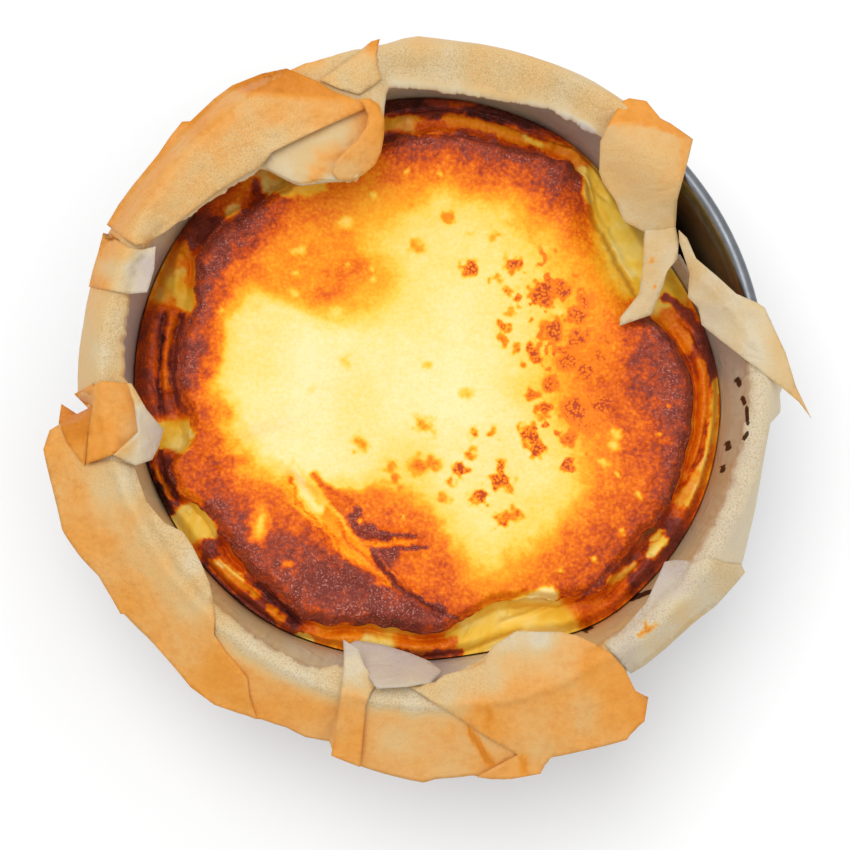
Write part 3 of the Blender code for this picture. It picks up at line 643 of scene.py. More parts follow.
def cakeRelief(angle, x, y, out, seam):
    # folds, breaks and ridges, and the wrinkles of the ledge
    topLevel, ledgeLevel = cake["foldLevels"]
    readX, readY = seenAt(x, y, np.where(out > 0.0, ledgeLevel, topLevel), shot["cakeLevel"])
    relief = np.zeros(x.shape)
    for points, half, lift in cakeFolds:
        distance, _, along = toLine(place(points), readX, readY)
        ends = ease(0.0, 0.08, along) * (1.0 - ease(0.92, 1.0, along))
        relief += lift * np.exp(-(distance / half) ** 2) * (0.35 + 0.65 * ends)
    wrinkle = cloudLayers(angle * 1.6, out * 3.0, cake["wrinkle"])
    wrinkle = wrinkle + cloudLayers(angle * 1.6, out * 6.0, cake["fineWrinkle"])
    calm = 0.2 + 0.8 * ease(0.28, 0.5, around(ledgeTone, angle, 2.0))
    relief += ease(0.0, 0.06, out) * wrinkle * calm * (1.0 - seam)
    return relief * (1.0 - ease(0.9, 1.0, out))


def cakeTones(seenX, seenY, outside):
    # how brown each point is, its pale spots and its lace, read where the photo shows it
    seenAngle = np.degrees(np.arctan2(seenY, seenX)) % 360.0
    seenRadius = np.hypot(seenX, seenY)
    reading = seenRadius + cloudLayers(seenX, seenY, cake["toneBlur"])
    tone = cloudLayers(seenX, seenY, cake["paleClouds"], cake["paleTone"])
    tone = tone + cake["paleSlope"] * ease(-20.0, 40.0, seenX + seenY)
    steps = [(around(tones[level], seenAngle, 1.5), level) for level in sorted(tones)]
    steps.append((steps[-1][0] + cake["lastStep"], cake["lastTone"]))
    for (fromR, low), (toR, high) in zip(steps, steps[1:]):
        share = np.clip((reading - fromR) / np.maximum(toR - fromR, 0.5), 0, 1)
        tone = np.where(reading > fromR, mix(low, high, share), tone)
    first, firstTone = steps[0]
    width = around(cake["paleEdge"], seenAngle, 2.0)
    rise = ease(0.0, 1.0, (reading - first + width) / width)
    tone = np.where(reading <= first, mix(tone, firstTone, rise), tone)

    strokeX = cloudLayers(seenX, seenY, cake["strokeBlurX"], seenX)
    strokeY = cloudLayers(seenX, seenY, cake["strokeBlurY"], seenY)
    for outline, level, soft in tonePatches:
        tone = mix(tone, level, patch(outline, soft, strokeX, strokeY))
    onLedge = around(ledgeTone, seenAngle, 0.8) + cloudLayers(seenX, seenY, cake["ledgeClouds"])
    tone = mix(tone, onLedge, outside)
    for points, half, level, soft in toneStrokes:
        distance, _, _ = toLine(place(points), strokeX, strokeY)
        tone = mix(tone, level, 1.0 - ease(half - 0.5 * soft, half + 0.5 * soft, distance))
    pale = np.zeros(seenX.shape)
    for spotAngle, spotRadius, size in paleSpots:
        (cx, cy), = place([(spotAngle, spotRadius)])
        distance = np.hypot(strokeX - cx, strokeY - cy)
        pale = np.maximum(pale, 1.0 - ease(size * 0.1, size * 1.25, distance))

    # loose net of brown flecks over the right of the middle, then the clusters
    fromR, fullR, fadeR, toR = cake["netRing"]
    fromAngle, toAngle, soft = cake["netAngles"]
    net = cloudLayers(seenX, seenY, cake["laceNet"])
    lace = 0.6 * ease(0.45, 1.2, net) * ease(fromR, fullR, seenRadius)
    lace *= 1.0 - ease(fadeR, toR, seenRadius)
    lace *= between(fromAngle, toAngle, seenAngle, soft)
    ragged = [height * clouds(seenX, seenY, size, seed) for height, size, seed in cake["laceBlur"]]
    for spotAngle, spotRadius, size, dark in laceSpots:
        (cx, cy), = place([(spotAngle, spotRadius)])
        distance = sum(ragged, np.hypot(seenX - cx, seenY - cy))
        lace = np.maximum(lace, dark * (1.0 - ease(size * 0.05, size * 1.25, distance)))
    # blotches of deeper and lighter brown
    browned = ease(0.38, 0.6, tone) * (1.0 - outside)
    tone = tone + browned * cloudLayers(seenX, seenY, cake["blotches"])
    tone = np.clip(mix(tone, np.minimum(tone, 0.16), pale * 0.8), 0.0, 1.0)
    return tone, pale, lace


def makeCake():
    rings, topRings = cake["rings"], cake["topRings"]
    counts = [max(1, 6 * k) for k in range(rings + 1)]
    ringOf = np.repeat(np.arange(rings + 1), counts)
    stepOf = np.concatenate([np.arange(count) for count in counts])
    angle = 360.0 * stepOf / np.maximum(1, 6 * ringOf)
    share = np.where(ringOf <= topRings, ringOf / topRings, 1.0 + (ringOf - topRings) / (rings - topRings))
    turn = np.radians(angle)
    onTop = share <= 1.0
    out = np.clip(share - 1.0, 0.0, 1.0)
    inner = np.minimum(share, 1.0)

    # plan: top out to the crust's edge, then the ledge out to the side
    seam = 1.0 - ease(4.0, 12.0, np.minimum(angle, 360.0 - angle))
    wander = cloudLayers(angle * 1.4, angle * 0.0, cake["edgeWander"])
    crust = around(cake["crustEdge"], angle, 1.2) + wander * (1.0 - seam)
    side = around(cake["edge"], angle, 6.0)
    crust = np.minimum(crust, side - cake["leastLedge"])
    radius = np.where(onTop, crust * inner, mix(crust, side, out))
    # the crust's lip hangs a little over the ledge
    tuck = cake["lipTuck"] * ease(0.0, 0.05, out) * (1.0 - ease(0.05, 0.16, out))
    radius = radius - tuck * (1.0 - between(*cake["openLip"], angle))
    x, y = radius * np.cos(turn), radius * np.sin(turn)

    fallen = between(*cake["fallen"], angle)
    height = cake["centreZ"] + cake["ridgeRise"] * ease(0.45, 0.9, inner)
    ridge = np.exp(-((inner - cake["ridgeAt"]) / cake["ridgeWidth"]) ** 2) * onTop
    height += ridge * sum(lift * between(first, last, angle) for first, last, lift in cake["ridges"])
    height -= cake["lipDrop"] * ease(0.955, 1.0, inner)
    height -= cake["ridgeRise"] * fallen * ease(0.8, 1.0, inner)
    lipZ = cake["centreZ"] + cake["ridgeRise"] * (1.0 - fallen) - cake["lipDrop"]
    ledge = mix(lipZ, cake["ledgeZ"], ease(0.0, 0.22, out))
    ledge = mix(ledge, cake["shoulderZ"], ease(0.6, 1.0, out))
    height = np.where(onTop, height, ledge)
    height += cloudLayers(x, y, cake["swell"]) * (1.0 - ease(1.3, 2.0, share))
    height = height + cakeRelief(angle, x, y, out, seam)

    seenX, seenY = seenAt(x, y, height, shot["cakeLevel"])
    outside = ease(0.0, 0.03, out)
    tone, pale, lace = cakeTones(seenX, seenY, outside)

    # bubbly skin where it is browned, smooth folds on the ledge
    skin = ease(0.45, 0.72, tone) * onTop
    fine, wide = cake["fineBubbles"], cake["wideBubbles"]
    rough = fine["height"] * (bubbles(x, y, fine["size"], fine["seed"]) - 0.45)
    rough = cloudLayers(x, y, cake["skinGrain"], rough)
    rough = rough + wide["height"] * (bubbles(x, y, wide["size"], wide["seed"]) - 0.45)
    height += skin * rough
    height += cloudLayers(x, y, cake["paleGrain"]) * (1.0 - skin) + cake["spotRise"] * pale * onTop

    # side and base
    count = counts[rings]
    rimTurn = turn[-count:]
    sideR = around(cake["edge"], angle[-count:], 6.0)
    points = [np.column_stack((x, y, height))]
    for z, inset in cake["sideRows"]:
        ring = sideR - inset
        points.append(np.column_stack((ring * np.cos(rimTurn), ring * np.sin(rimTurn), np.full(count, z))))
    points.append(np.array([[0.0, 0.0, cake["baseZ"]]]))
    points = np.vstack(points)

    start = [0] + list(np.cumsum(counts))
    faces = ringFaces(start)
    step = np.arange(count)
    after = (step + 1) % count
    upper = start[rings]
    for row in range(len(cake["sideRows"])):
        lower = start[rings + 1] + row * count
        faces += np.column_stack((upper + step, lower + step, lower + after, upper + after)).tolist()
        upper = lower
    bottom = len(points) - 1
    faces += np.column_stack((upper + step, np.full(count, bottom), upper + after)).tolist()

    bare = (1.0 - ease(0.30, 0.46, tone)) * outside
    hidden = np.ones(len(points) - len(x))      # points of the side and base
    layers = {
        "tone": np.concatenate((tone, 0.35 * hidden)),
        "bare": np.concatenate((bare, 0.6 * hidden)),
        "lace": np.concatenate((lace, 0.0 * hidden)),
        "ledge": np.concatenate((outside, hidden)),
    }
    piece = meshPiece("cheesecakeBody", points, faces, layers)
    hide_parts("cheesecake")
    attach(piece, "root")
    return piece


crustColours = (
    (0.00, paint(248, 228, 168)),
    (0.12, paint(250, 216, 124)),
    (0.24, paint(252, 202, 74)),
    (0.34, paint(250, 174, 32)),
    (0.44, paint(246, 143, 14)),
    (0.54, paint(235, 114, 8)),
    (0.64, paint(216, 90, 10)),
    (0.72, paint(184, 70, 24)),
    (0.80, paint(148, 60, 40)),
    (0.88, paint(116, 46, 36)),
    (0.94, paint(82, 34, 27)),
    (1.00, paint(44, 20, 18)),
)
custardColours = (
    (0.34, paint(248, 192, 36)),
    (0.50, paint(253, 216, 84)),
    (0.66, paint(255, 236, 150)),
)
# pinkish colour of the painted glints on the dark crust
glintColour = paint(222, 158, 142)


def crustFinish():
    m = Finish("bakedCrust")
    tone, bare, lace, ledge = m.layer("tone"), m.layer("bare"), m.layer("lace"), m.layer("ledge")
    broad = m.noise(190.0, 3.0, 0.6)
    grain = m.noise(820.0, 3.0, 0.6)
    foam = m.cells(700.0)
    fineFoam = m.cells(1050.0)
    browned = m.band(tone, 0.34, 0.60)
    dark = m.band(tone, 0.70, 0.84)
    onTop = m.minus(1.0, ledge)
    # mottling follows how brown the place is
    mottle = m.times(m.minus(broad, 0.5), m.scaled(browned, 0.12, 0.12))
    speck = m.times(m.minus(grain, 0.52), m.scaled(browned, 0.30, 0.22))
    speck = m.times(m.least(speck, 0.03), m.scaled(dark, -0.5, 1.0))
    # painted highlight: each small bubble of the browned skin is lighter at its middle, with browner rims
    # between them
    bubbleHighlight = m.times(m.minus(foam, 0.45), m.times(browned, 0.13))
    bubbleHighlight = m.times(bubbleHighlight, m.minus(m.scaled(onTop, 0.8, 0.2), m.times(dark, 0.2)))
    level = m.plus(m.plus(tone, mottle), m.plus(speck, bubbleHighlight))
    level = m.least(level, m.scaled(ledge, 0.14, 0.87))
    # lace: brown walls between small pale bubbles in an orange halo
    reach = m.scaled(m.minus(grain, 0.5), 0.7, lace)
    halo = m.least(m.scaled(m.band(lace, 0.0, 0.6), 0.36, level), 0.50)
    level = m.most(level, halo)
    walls = m.times(m.band(fineFoam, 0.34, 0.74), m.band(reach, 0.36, 0.86))
    level = m.most(level, m.least(m.scaled(walls, 0.32, level), 0.72))
    colour = m.ramp(level, crustColours)
    # painted highlight: pinkish glints in fine flecks on the dark skin
    glint = m.band(m.noise(1500.0, 2.0, 0.6), 0.54, 0.68)
    glintArea = m.band(m.noise(120.0, 2.0, 0.5), 0.36, 0.60)
    glintShare = m.times(m.times(glint, dark), m.scaled(glintArea, 0.42, 0.20))
    colour = m.blend(m.times(glintShare, m.scaled(onTop, 0.7, 0.3)), colour, glintColour)
    # bare custard: deep yellow to cream
    custard = m.ramp(m.noise(60.0, 3.0, 0.5, 1.2), custardColours)
    colour = m.blend(m.times(bare, 0.85), colour, custard)
    m.shade("Base Color", colour)
    rough = m.scaled(m.noise(420.0, 2.0), 0.25, 0.40)
    m.shade("Roughness", m.minus(rough, m.times(ledge, 0.12)))
    m.shade("Specular IOR Level", 0.18)
    height = m.plus(m.times(foam, m.times(browned, -0.6)), m.times(grain, 0.45))
    height = m.times(height, m.scaled(onTop, 0.8, 0.2))
    m.shade("Normal", m.bump(height, 0.6, 0.0006))
    return m.material


paper = {
    "columns": 900,
    "thick": 0.16,
    "floorZ": 1.6,
    "footRound": 2.6,           # where the floor turns up into the wall
    "maxR": 99.2,
    "besideCake": 0.6,          # from the cake's edge
    "besideZ": (22.0, 40.0),
    "clearZ": 54.0,             # where the wall is clear of the cake
    "uprightZ": (62.0, 66.0, 69.6),
    "leaningLift": (-3.6, -1.3, 0.5),       # the same places over foldZ, where the wall leans in
    "foldZ": 68.4,
    "rimTop": 71.2,
    "beadR": 102.3,
    "pastBead": 3.2,
    "skirtLength": 18.0,
    "leastDrop": 6.5,
    "hemZ": 60.5,
    "slitFrom": 2.0,            # angles of the gap in the rim
    "slitTo": 54.0,
    "lowFrom": 11.0,            # angles of the low wall under it
    "lowTo": 43.0,
    "lowZ": (42.5, 45.0, 47.0, 49.0),
    # rows of the sheet: end of the floor and the wall beside the cake, the fold at the rim, the hem
    "wallRow": 4.0,
    "foldRow": 8.0,
    "hemRow": 13.0,
    "facet": 0.46,              # height of the crumple
    # facets of the crumple: (share of the height, size, seed), broad and fine
    "sheetFacets": ((1.0, 11.0, 61), (0.4, 4.2, 64)),
    "flapFacets": ((0.8, 10.0, 300), (0.35, 4.0, 340)),
    "flapWave": (0.3, 9.0, 380),            # the same for the wavy edge of the flaps
    "cutSeed": 200,
    "wallWrinkle": 0.7,
    "skirtTone": (102.5, 108.5),            # radii where the tone goes over to that of the skirt
    "fewerSpecks": (103.0, 106.0),
    "spacing": 1.15,            # mesh of the flaps
    "stiffness": 60.0,          # of flaps that run through given heights
    "mark": -2.0,               # value of the speck layer in a dark mark
    # inner border of the fold over the rim: angle and radius
    "foldBorder": ((0, 97.8), (54, 93.4), (58, 92.6), (67, 93.0), (77, 90.2), (87, 90.3), (95, 92.0),
                   (99.5, 93.5), (102, 81.0), (104, 73.2), (107.5, 69.4), (112, 66.8), (116, 68.0),
                   (121, 71.0), (126.5, 74.0), (130, 85.0), (138, 87.5), (147, 91.5), (157, 99.0),
                   (163, 99.2), (169, 96.8), (181, 95.6), (187, 92.0), (192, 92.4), (197, 96.5),
                   (200, 99.2), (246, 99.2), (251, 94.5), (268, 95.0), (272, 95.0), (276, 91.8),
                   (281, 89.0), (285.5, 86.0), (291, 88.0), (296, 93.0), (301, 98.5), (330, 98.2),
                   (350, 97.4)),
    # hem as the photo shows it
    "skirtEdge": ((0, 110.5), (54, 106.0), (55.8, 106.1), (59.8, 106.7), (64.2, 106.9), (67.7, 106.4),
                  (73.3, 106.0), (79.5, 106.5), (84.9, 106.7), (90.2, 108.0), (92.5, 108.6), (95.5, 108.1),
                  (99.4, 106.0), (103.6, 103.6), (108, 102.6), (112, 103.0), (116.2, 106.4), (120.3, 108.4),
                  (125.4, 110.0), (129.1, 110.0), (134.5, 109.6), (142.1, 109.6), (148.9, 110.2),
                  (156.6, 111.0), (157.6, 107.5), (158.4, 110.8), (165.5, 110.6), (171.9, 110.4),
                  (175.4, 110.7), (181.9, 110.9), (183.6, 111.0), (185.4, 107.4), (187.2, 112.5),
                  (189.5, 118.6), (191.7, 121.8), (196.7, 121.8), (199.7, 122.2), (203.5, 123.2),
                  (207.5, 121.8), (211.4, 119.8), (218.0, 120.0), (224.4, 118.8), (232.5, 120.8),
                  (240.3, 119.4), (242.6, 119.0), (243.5, 118.2), (247.3, 117.4), (250.4, 117.9),
                  (254.1, 117.1), (254.9, 119.5), (259.4, 122.0), (268.4, 124.8), (270.1, 123.7),
                  (275.3, 123.2), (279.5, 125.6), (284.2, 125.8), (286.6, 122.4), (291, 123.6),
                  (297.2, 126.0), (300.5, 124.0), (302.2, 117.5), (302.8, 110.0), (309.3, 110.0),
                  (315.6, 110.1), (320, 111.8), (326.6, 113.0), (329.4, 111.9), (333.7, 110.1),
                  (340.6, 108.1), (347.8, 105.6), (351.7, 106.1), (354.6, 109.5), (357.5, 109.0)),
}

# creases of the sheet below the flaps: (angle, radius) points, step up on the left, width it fades
# over, ridge
creases = (
    (((84.4, 104), (85.1, 99.2), (82.2, 94.7)), 0.2, 3.0, 0.5),
    (((65.9, 101.4), (64.5, 97.6)), 0.2, 3.0, 0.4),
    (((63.6, 103.4), (60.5, 106.6)), 0.2, 3.0, 0.4),
    (((57, 96), (58.5, 100), (57.9, 104)), -0.2, 3.0, 0.4),
    (((112, 108), (113, 103), (118, 99.5), (126, 99)), -0.4, 5.0, 0.4),
    (((204, 102), (206, 104), (210, 107), (217, 109)), -0.3, 4.0, 0.3),
    (((240, 112), (246, 111), (252, 110)), 0.3, 4.0, 0.2),
    (((263, 99), (265, 105), (264, 112)), 0.2, 3.0, 0.2),
    (((331, 98), (333, 103), (332, 109)), 0.2, 3.0, 0.2),
    (((345, 96), (343, 101), (344, 105)), -0.2, 3.0, 0.2),
)

# how toasted the paper is: angle and value on the wall, over the rim and on the skirt; the lowest values
# give the wall its grey, which holds painted shade
paperTone = {
    "wall": ((0, 0.26), (54, 0.12), (60, 0.14), (74, 0.30), (90, 0.34), (98, 0.34), (104, 0.34),
             (112, 0.55), (118, 0.36), (126, 0.18), (130, 0.42), (155, 0.32), (158, 0.05), (166, 0.04),
             (182, 0.06), (186, 0.30), (193, 0.20), (197, 0.46), (205, 0.46), (246, 0.42), (252, 0.26),
             (268, 0.06), (276, 0.30), (284, 0.50), (298, 0.50), (303, 0.44), (322, 0.44), (330, 0.42),
             (345, 0.38)),
    "rim": ((0, 0.30), (54, 0.46), (100, 0.47), (110, 0.52), (118, 0.62), (130, 0.52), (155, 0.50),
            (162, 0.42), (183, 0.46), (187, 0.60), (194, 0.46), (199, 0.42), (228, 0.42), (231, 0.40),
            (252, 0.38), (256, 0.46), (261, 0.34), (266, 0.34), (272, 0.42), (276, 0.66), (300, 0.74),
            (303, 0.30), (340, 0.29)),
    "skirt": ((0, 0.32), (54, 0.46), (90, 0.50), (104, 0.52), (108, 0.66), (113, 0.96), (124, 0.90),
              (131, 0.74), (157, 0.70), (166, 0.76), (167, 0.52), (183, 0.54), (186, 0.90), (191, 0.80),
              (194, 0.76), (235, 0.76), (254, 0.72), (257, 0.72), (262, 0.60), (274, 0.64), (280, 0.72),
              (300, 0.78), (302, 0.38), (330, 0.34), (350, 0.30)),
}

# patches of other toast on the sheet: outline of (angle, radius) points, value, how soft
paperTints = (
    (((129.8, 85.5), (129.5, 80), (127, 71), (124.3, 69), (119.5, 70), (112, 66), (104, 72), (102, 81),
      (102.3, 88), (109.4, 86), (118.6, 86), (126.8, 87)), 0.44, 1.6),
    (((121, 76.4), (111, 79.5), (106, 85), (102, 87), (103, 78), (112, 73.5), (120, 70.5), (125.5, 70)),
     0.74, 3.5),
    (((130, 86), (129.6, 79), (127, 74), (125, 80)), 0.38, 4.0),
    (((275.1, 108.5), (276.4, 112), (277.6, 117), (278.6, 121.6), (277.2, 121.8), (276.1, 116.4),
      (274.6, 111)), 0.97, 0.9),
    (((231, 106.5), (234, 112), (236, 118), (239, 119.5), (238.5, 114), (235.5, 109.5)), 0.86, 2.0),
)

# short dark brown marks on the wall: (angle, radius) points, half width
paperMarks = (
    (((358.6, 94.4), (357.8, 94.9)), 0.7),
    (((355.2, 96.2), (354.4, 96.8)), 0.6),
    (((353.4, 97.8), (350.6, 98.6)), 0.55),
    (((348.9, 99.0), (347.8, 98.3)), 0.6),
    (((346.2, 93.6), (345.4, 94.0)), 0.7),
    (((341.6, 94.0), (341.0, 94.2)), 0.6),
    (((299.7, 92.1), (303.2, 91.5), (308.7, 91.6), (313.9, 94.6)), 0.6),
)


def spline(controls, samples):
    # smooth rows through control rows; both are arrays of (row, column, value)
    last = len(controls) - 1
    rows = []
    for sample in samples:
        i = min(int(sample), last - 1)
        t = sample - i
        p0, p1, p2, p3 = (controls[min(max(i + o, 0), last)] for o in (-1, 0, 1, 2))
        square = (2 * p0 - 5 * p1 + 4 * p2 - p3) * t * t
        cube = (3 * p1 - p0 - 3 * p2 + p3) * t ** 3
        rows.append(0.5 * (2 * p1 + (p2 - p0) * t + square + cube))
    return np.array(rows)


def fromPhoto(angle, radius, z):
    # a place read at (angle, radius) on the paper's level, at its real height
    x, y = radius * np.cos(np.radians(angle)), radius * np.sin(np.radians(angle))
    ex, ey, ez = shot["eye"]
    share = (ez - z) / (ez - shot["paperLevel"])
    return ex + (x - ex) * share, ey + (y - ey) * share


def sheetRows(angle):
    # control rows (radius, z) of the sheet for an array of angles: floor, wall, then over the rim
    maxR, floorZ, foldZ = paper["maxR"], paper["floorZ"], paper["foldZ"]
    beadR, rimTop = paper["beadR"], paper["rimTop"]
    full = np.full(angle.shape, 1.0)
    side = around(cake["edge"], angle, 6.0) + paper["besideCake"]
    torn = (angle > paper["slitFrom"]) & (angle < paper["slitTo"])
    low = (angle > paper["lowFrom"]) & (angle < paper["lowTo"])
    fold = np.where(torn, maxR, around(paper["foldBorder"], angle, 0.6))
    inward = np.clip((maxR - fold) / 6.0, 0.0, 1.0)
    rows = [(0.0 * full, floorZ * full), (side - paper["footRound"], floorZ * full),
            (side, (floorZ + paper["footRound"]) * full)]
    rows += [(side, z * full) for z in paper["besideZ"]]
    # free wall: upright, leaning in where the sheet is folded inwards, short where it is torn
    leaning = (np.minimum(fold + 3.2, maxR), fold + 0.3, fold + 0.6)
    wall = [(mix(np.minimum(maxR, side + 0.5), maxR, 0.5), paper["clearZ"] * full)]
    wall += [(mix(maxR, spot, inward), mix(uprightZ, foldZ + lift, inward))
             for spot, uprightZ, lift in zip(leaning, paper["uprightZ"], paper["leaningLift"])]
    lowWall = [(np.minimum(maxR, side + 0.5 + 0.3 * step), z * full)
               for step, z in enumerate(paper["lowZ"])]
    rows += [(np.where(low, a[0], b[0]), np.where(low, a[1], b[1])) for a, b in zip(lowWall, wall)]
    # over the rim and down to the hem
    skirt = np.hypot(*fromPhoto(angle, around(paper["skirtEdge"], angle), paper["hemZ"]))
    reach = skirt - beadR
    drop = np.sqrt(np.maximum(paper["skirtLength"] ** 2 - reach ** 2, paper["leastDrop"] ** 2))
    hem = rimTop - drop
    outer = np.minimum(beadR + paper["pastBead"], skirt - 2.0)
    rows.append((mix(beadR - 2.0, np.minimum(fold + 4.0, 97.5), inward), mix(71.9, foldZ + 1.8, inward)))
    rows.append((beadR * full, (rimTop + 1.4) * full))
    rows.append((outer, (rimTop - 0.2) * full))
    rows.append((mix(outer, skirt, 0.5) + 0.4, mix(rimTop - 1.2, hem, 0.42)))
    rows.append((skirt, hem))
    return np.array([np.column_stack(row) for row in rows])


def facets(x, y, size, seed):
    # flat facets with sharp edges, as paper keeps after it was scrunched up
    rng = np.random.default_rng(seed)
    nodes = rng.uniform(-1.0, 1.0, (129, 129)) * (rng.uniform(0.0, 1.0, (129, 129)) > 0.35)
    turn = rng.uniform(0.3, 1.2)
    shiftX, shiftY = clouds(x, y, size * 2.3, seed + 1), clouds(x, y, size * 2.3, seed + 2)
    x, y = x + 0.5 * size * shiftX, y + 0.5 * size * shiftY
    u = (x * math.cos(turn) + y * math.sin(turn)) / size + 60.5
    v = (y * math.cos(turn) - x * math.sin(turn)) / (size * 1.4) + 60.5
    i, j = np.floor(u).astype(int), np.floor(v).astype(int)
    fu, fv = u - i, v - j
    i, j = i % 128, j % 128
    a, b, c, d = nodes[i, j], nodes[i + 1, j], nodes[i, j + 1], nodes[i + 1, j + 1]
    near = a + (b - a) * fu + (c - a) * fv
    far = d + (b - d) * (1.0 - fv) + (c - d) * (1.0 - fu)
    return np.where(fu + fv < 1.0, near, far)


def thicken(grid, keep, thick):
    # a grid of points (rows, columns once round, 3) as a closed thin sheet of the cells to keep
    rows, columns = grid.shape[:2]
    alongRow = np.roll(grid, -1, 1) - np.roll(grid, 1, 1)
    normal = np.cross(np.gradient(grid, axis=0), alongRow)
    normal /= np.maximum(np.linalg.norm(normal, axis=2, keepdims=True), 1e-9)
    points = np.vstack((grid.reshape(-1, 3), (grid + normal * thick).reshape(-1, 3)))
    r, c = np.meshgrid(np.arange(rows - 1), np.arange(columns), indexing="ij")
    r, c = r[keep], c[keep]
    n = (c + 1) % columns
    here, above = r * columns, (r + 1) * columns
    quads = np.column_stack((here + c, here + n, above + n, above + c))
    return points, closeSheet(quads.tolist(), rows * columns)


def closeSheet(faces, offset):
    # front faces, their backs and the strip along every open edge
    edges = {}
    for face in faces:
        for first, last in zip(face, face[1:] + face[:1]):
            if (last, first) in edges:
                del edges[(last, first)]
            else:
                edges[(first, last)] = True
    backs = [[i + offset for i in reversed(face)] for face in faces]
    return faces + backs + [[last, first, first + offset, last + offset] for first, last in edges]


def makeSheet():
    columns, wallRow, foldRow = paper["columns"], paper["wallRow"], paper["foldRow"]
    angle = np.arange(columns) * 360.0 / columns
    samples = [0.0, 1.0, 1.5, 2.0, 3.0, wallRow]
    samples += list(np.linspace(wallRow, foldRow, 17)[1:])
    samples += list(np.linspace(foldRow, paper["hemRow"], 27)[1:])
    rows = spline(sheetRows(angle), samples)
    radius, z = rows[..., 0], rows[..., 1]
    full = np.ones(z.shape)
    level = np.array(samples)[:, None] * full
    turn = np.radians(angle)[None, :] * full
    angleGrid = angle[None, :] * full
    x, y = radius * np.cos(turn), radius * np.sin(turn)
    seenX, seenY = seenAt(x, y, z, shot["paperLevel"])

    # creases and crumple lift the free parts of the sheet
    free = ease(5.0, foldRow, level)
    (broadShare, broadSize, broadSeed), (fineShare, fineSize, fineSeed) = paper["sheetFacets"]
    broad = broadShare * paper["facet"] * facets(x + z * 0.4, y - z * 0.3, broadSize, broadSeed)
    lift = broad + fineShare * paper["facet"] * facets(x, y + z * 0.5, fineSize, fineSeed)
    stepUp = np.zeros(x.shape)
    for points, step, fade, ridge in creases:
        distance, side, _ = toLine(place(points), seenX, seenY)
        raised = step * np.where(side > 0.0, np.exp(-distance / fade), 0.0)
        stepUp += raised + ridge * np.exp(-distance / 0.8)
    overRim = ease(8.2, 9.5, level)
    z = z + overRim * np.maximum(free * (0.8 * lift + stepUp * 0.6), -0.45)
    # upright wrinkles on the wall
    wrinkle = np.abs(clouds(angleGrid * 1.75, level * 0.5, 3.2, 66))
    wrinkle = wrinkle + 0.6 * np.abs(clouds(angleGrid * 1.75, level * 0.8, 1.4, 67))
    inwards = (1.0 - overRim) * ease(wallRow, 5.5, level) * (paper["wallWrinkle"] * wrinkle + 0.05)
    # the wall stays inside the tin, the fold and the skirt are free
    radius = np.minimum(radius - inwards, np.where(level < 8.6, paper["maxR"], np.inf))
    x, y = radius * np.cos(turn), radius * np.sin(turn)
    grid = np.stack((x, y, z), axis=2)

    cellAngle = np.tile(angle + 0.2, (len(samples) - 1, 1))
    cellLevel = (level[:-1] + level[1:]) / 2
    keep = ~((cellAngle > paper["slitFrom"]) & (cellAngle < paper["slitTo"]) & (cellLevel > foldRow))
    points, faces = thicken(grid, keep, -paper["thick"])

    seenX, seenY = seenAt(x, y, z, shot["paperLevel"])
    toast, speck = toastAt(seenX, seenY, level)
    layers = {"toast": np.tile(toast.ravel(), 2), "speck": np.tile(speck.ravel(), 2)}
    # height of the upper side where the photo shows it, for what lies on it
    top = level[:, 0] >= foldRow
    seenRadius, upper = np.hypot(seenX, seenY)[top], z[top]
    reach = np.maximum.accumulate(seenRadius, axis=0)
    for row in range(1, len(upper)):
        upper[row] = np.where(seenRadius[row] < reach[row], upper[row - 1], upper[row])
    return points, faces, layers, (reach, upper)


def toastAt(seenX, seenY, level):
    # how toasted the sheet is and how speckled, read where the photo shows each point
    seenAngle = np.degrees(np.arctan2(seenY, seenX)) % 360.0
    seenRadius = np.hypot(seenX, seenY) + 0.8 * clouds(seenX, seenY, 5.0, 71)
    wall, rim, skirt = (around(paperTone[key], seenAngle, 0.6) for key in ("wall", "rim", "skirt"))
    fold = np.clip(around(paper["foldBorder"], seenAngle, 1.5), 89.0, 96.0)
    toast = mix(wall, rim, ease(fold - 2.2, fold + 0.8, seenRadius) * ease(6.8, 8.0, level))
    toast = mix(toast, skirt, ease(*paper["skirtTone"], seenRadius))
    toast = toast + 0.06 * clouds(seenX, seenY, 9.0, 72) * ease(0.2, 0.5, toast)
    for outline, value, soft in paperTints:
        toast = mix(toast, value, patch(outline, soft, seenX, seenY) * ease(7.4, 8.2, level))
    fewer = 1.0 - 0.75 * ease(*paper["fewerSpecks"], seenRadius)
    speck = ease(fold, fold + 2.5, seenRadius) * fewer * ease(7.6, 8.4, level)
    mark = paper["mark"]
    for points, half in paperMarks:
        distance, _, _ = toLine(place(points), seenX, seenY)
        speck = mix(speck, mark, (1.0 - ease(half * 0.5, half * 1.5, distance)) * ease(3.0, 4.5, level))
    return np.clip(toast, 0.0, 1.0), np.clip(speck, mark, 1.0)


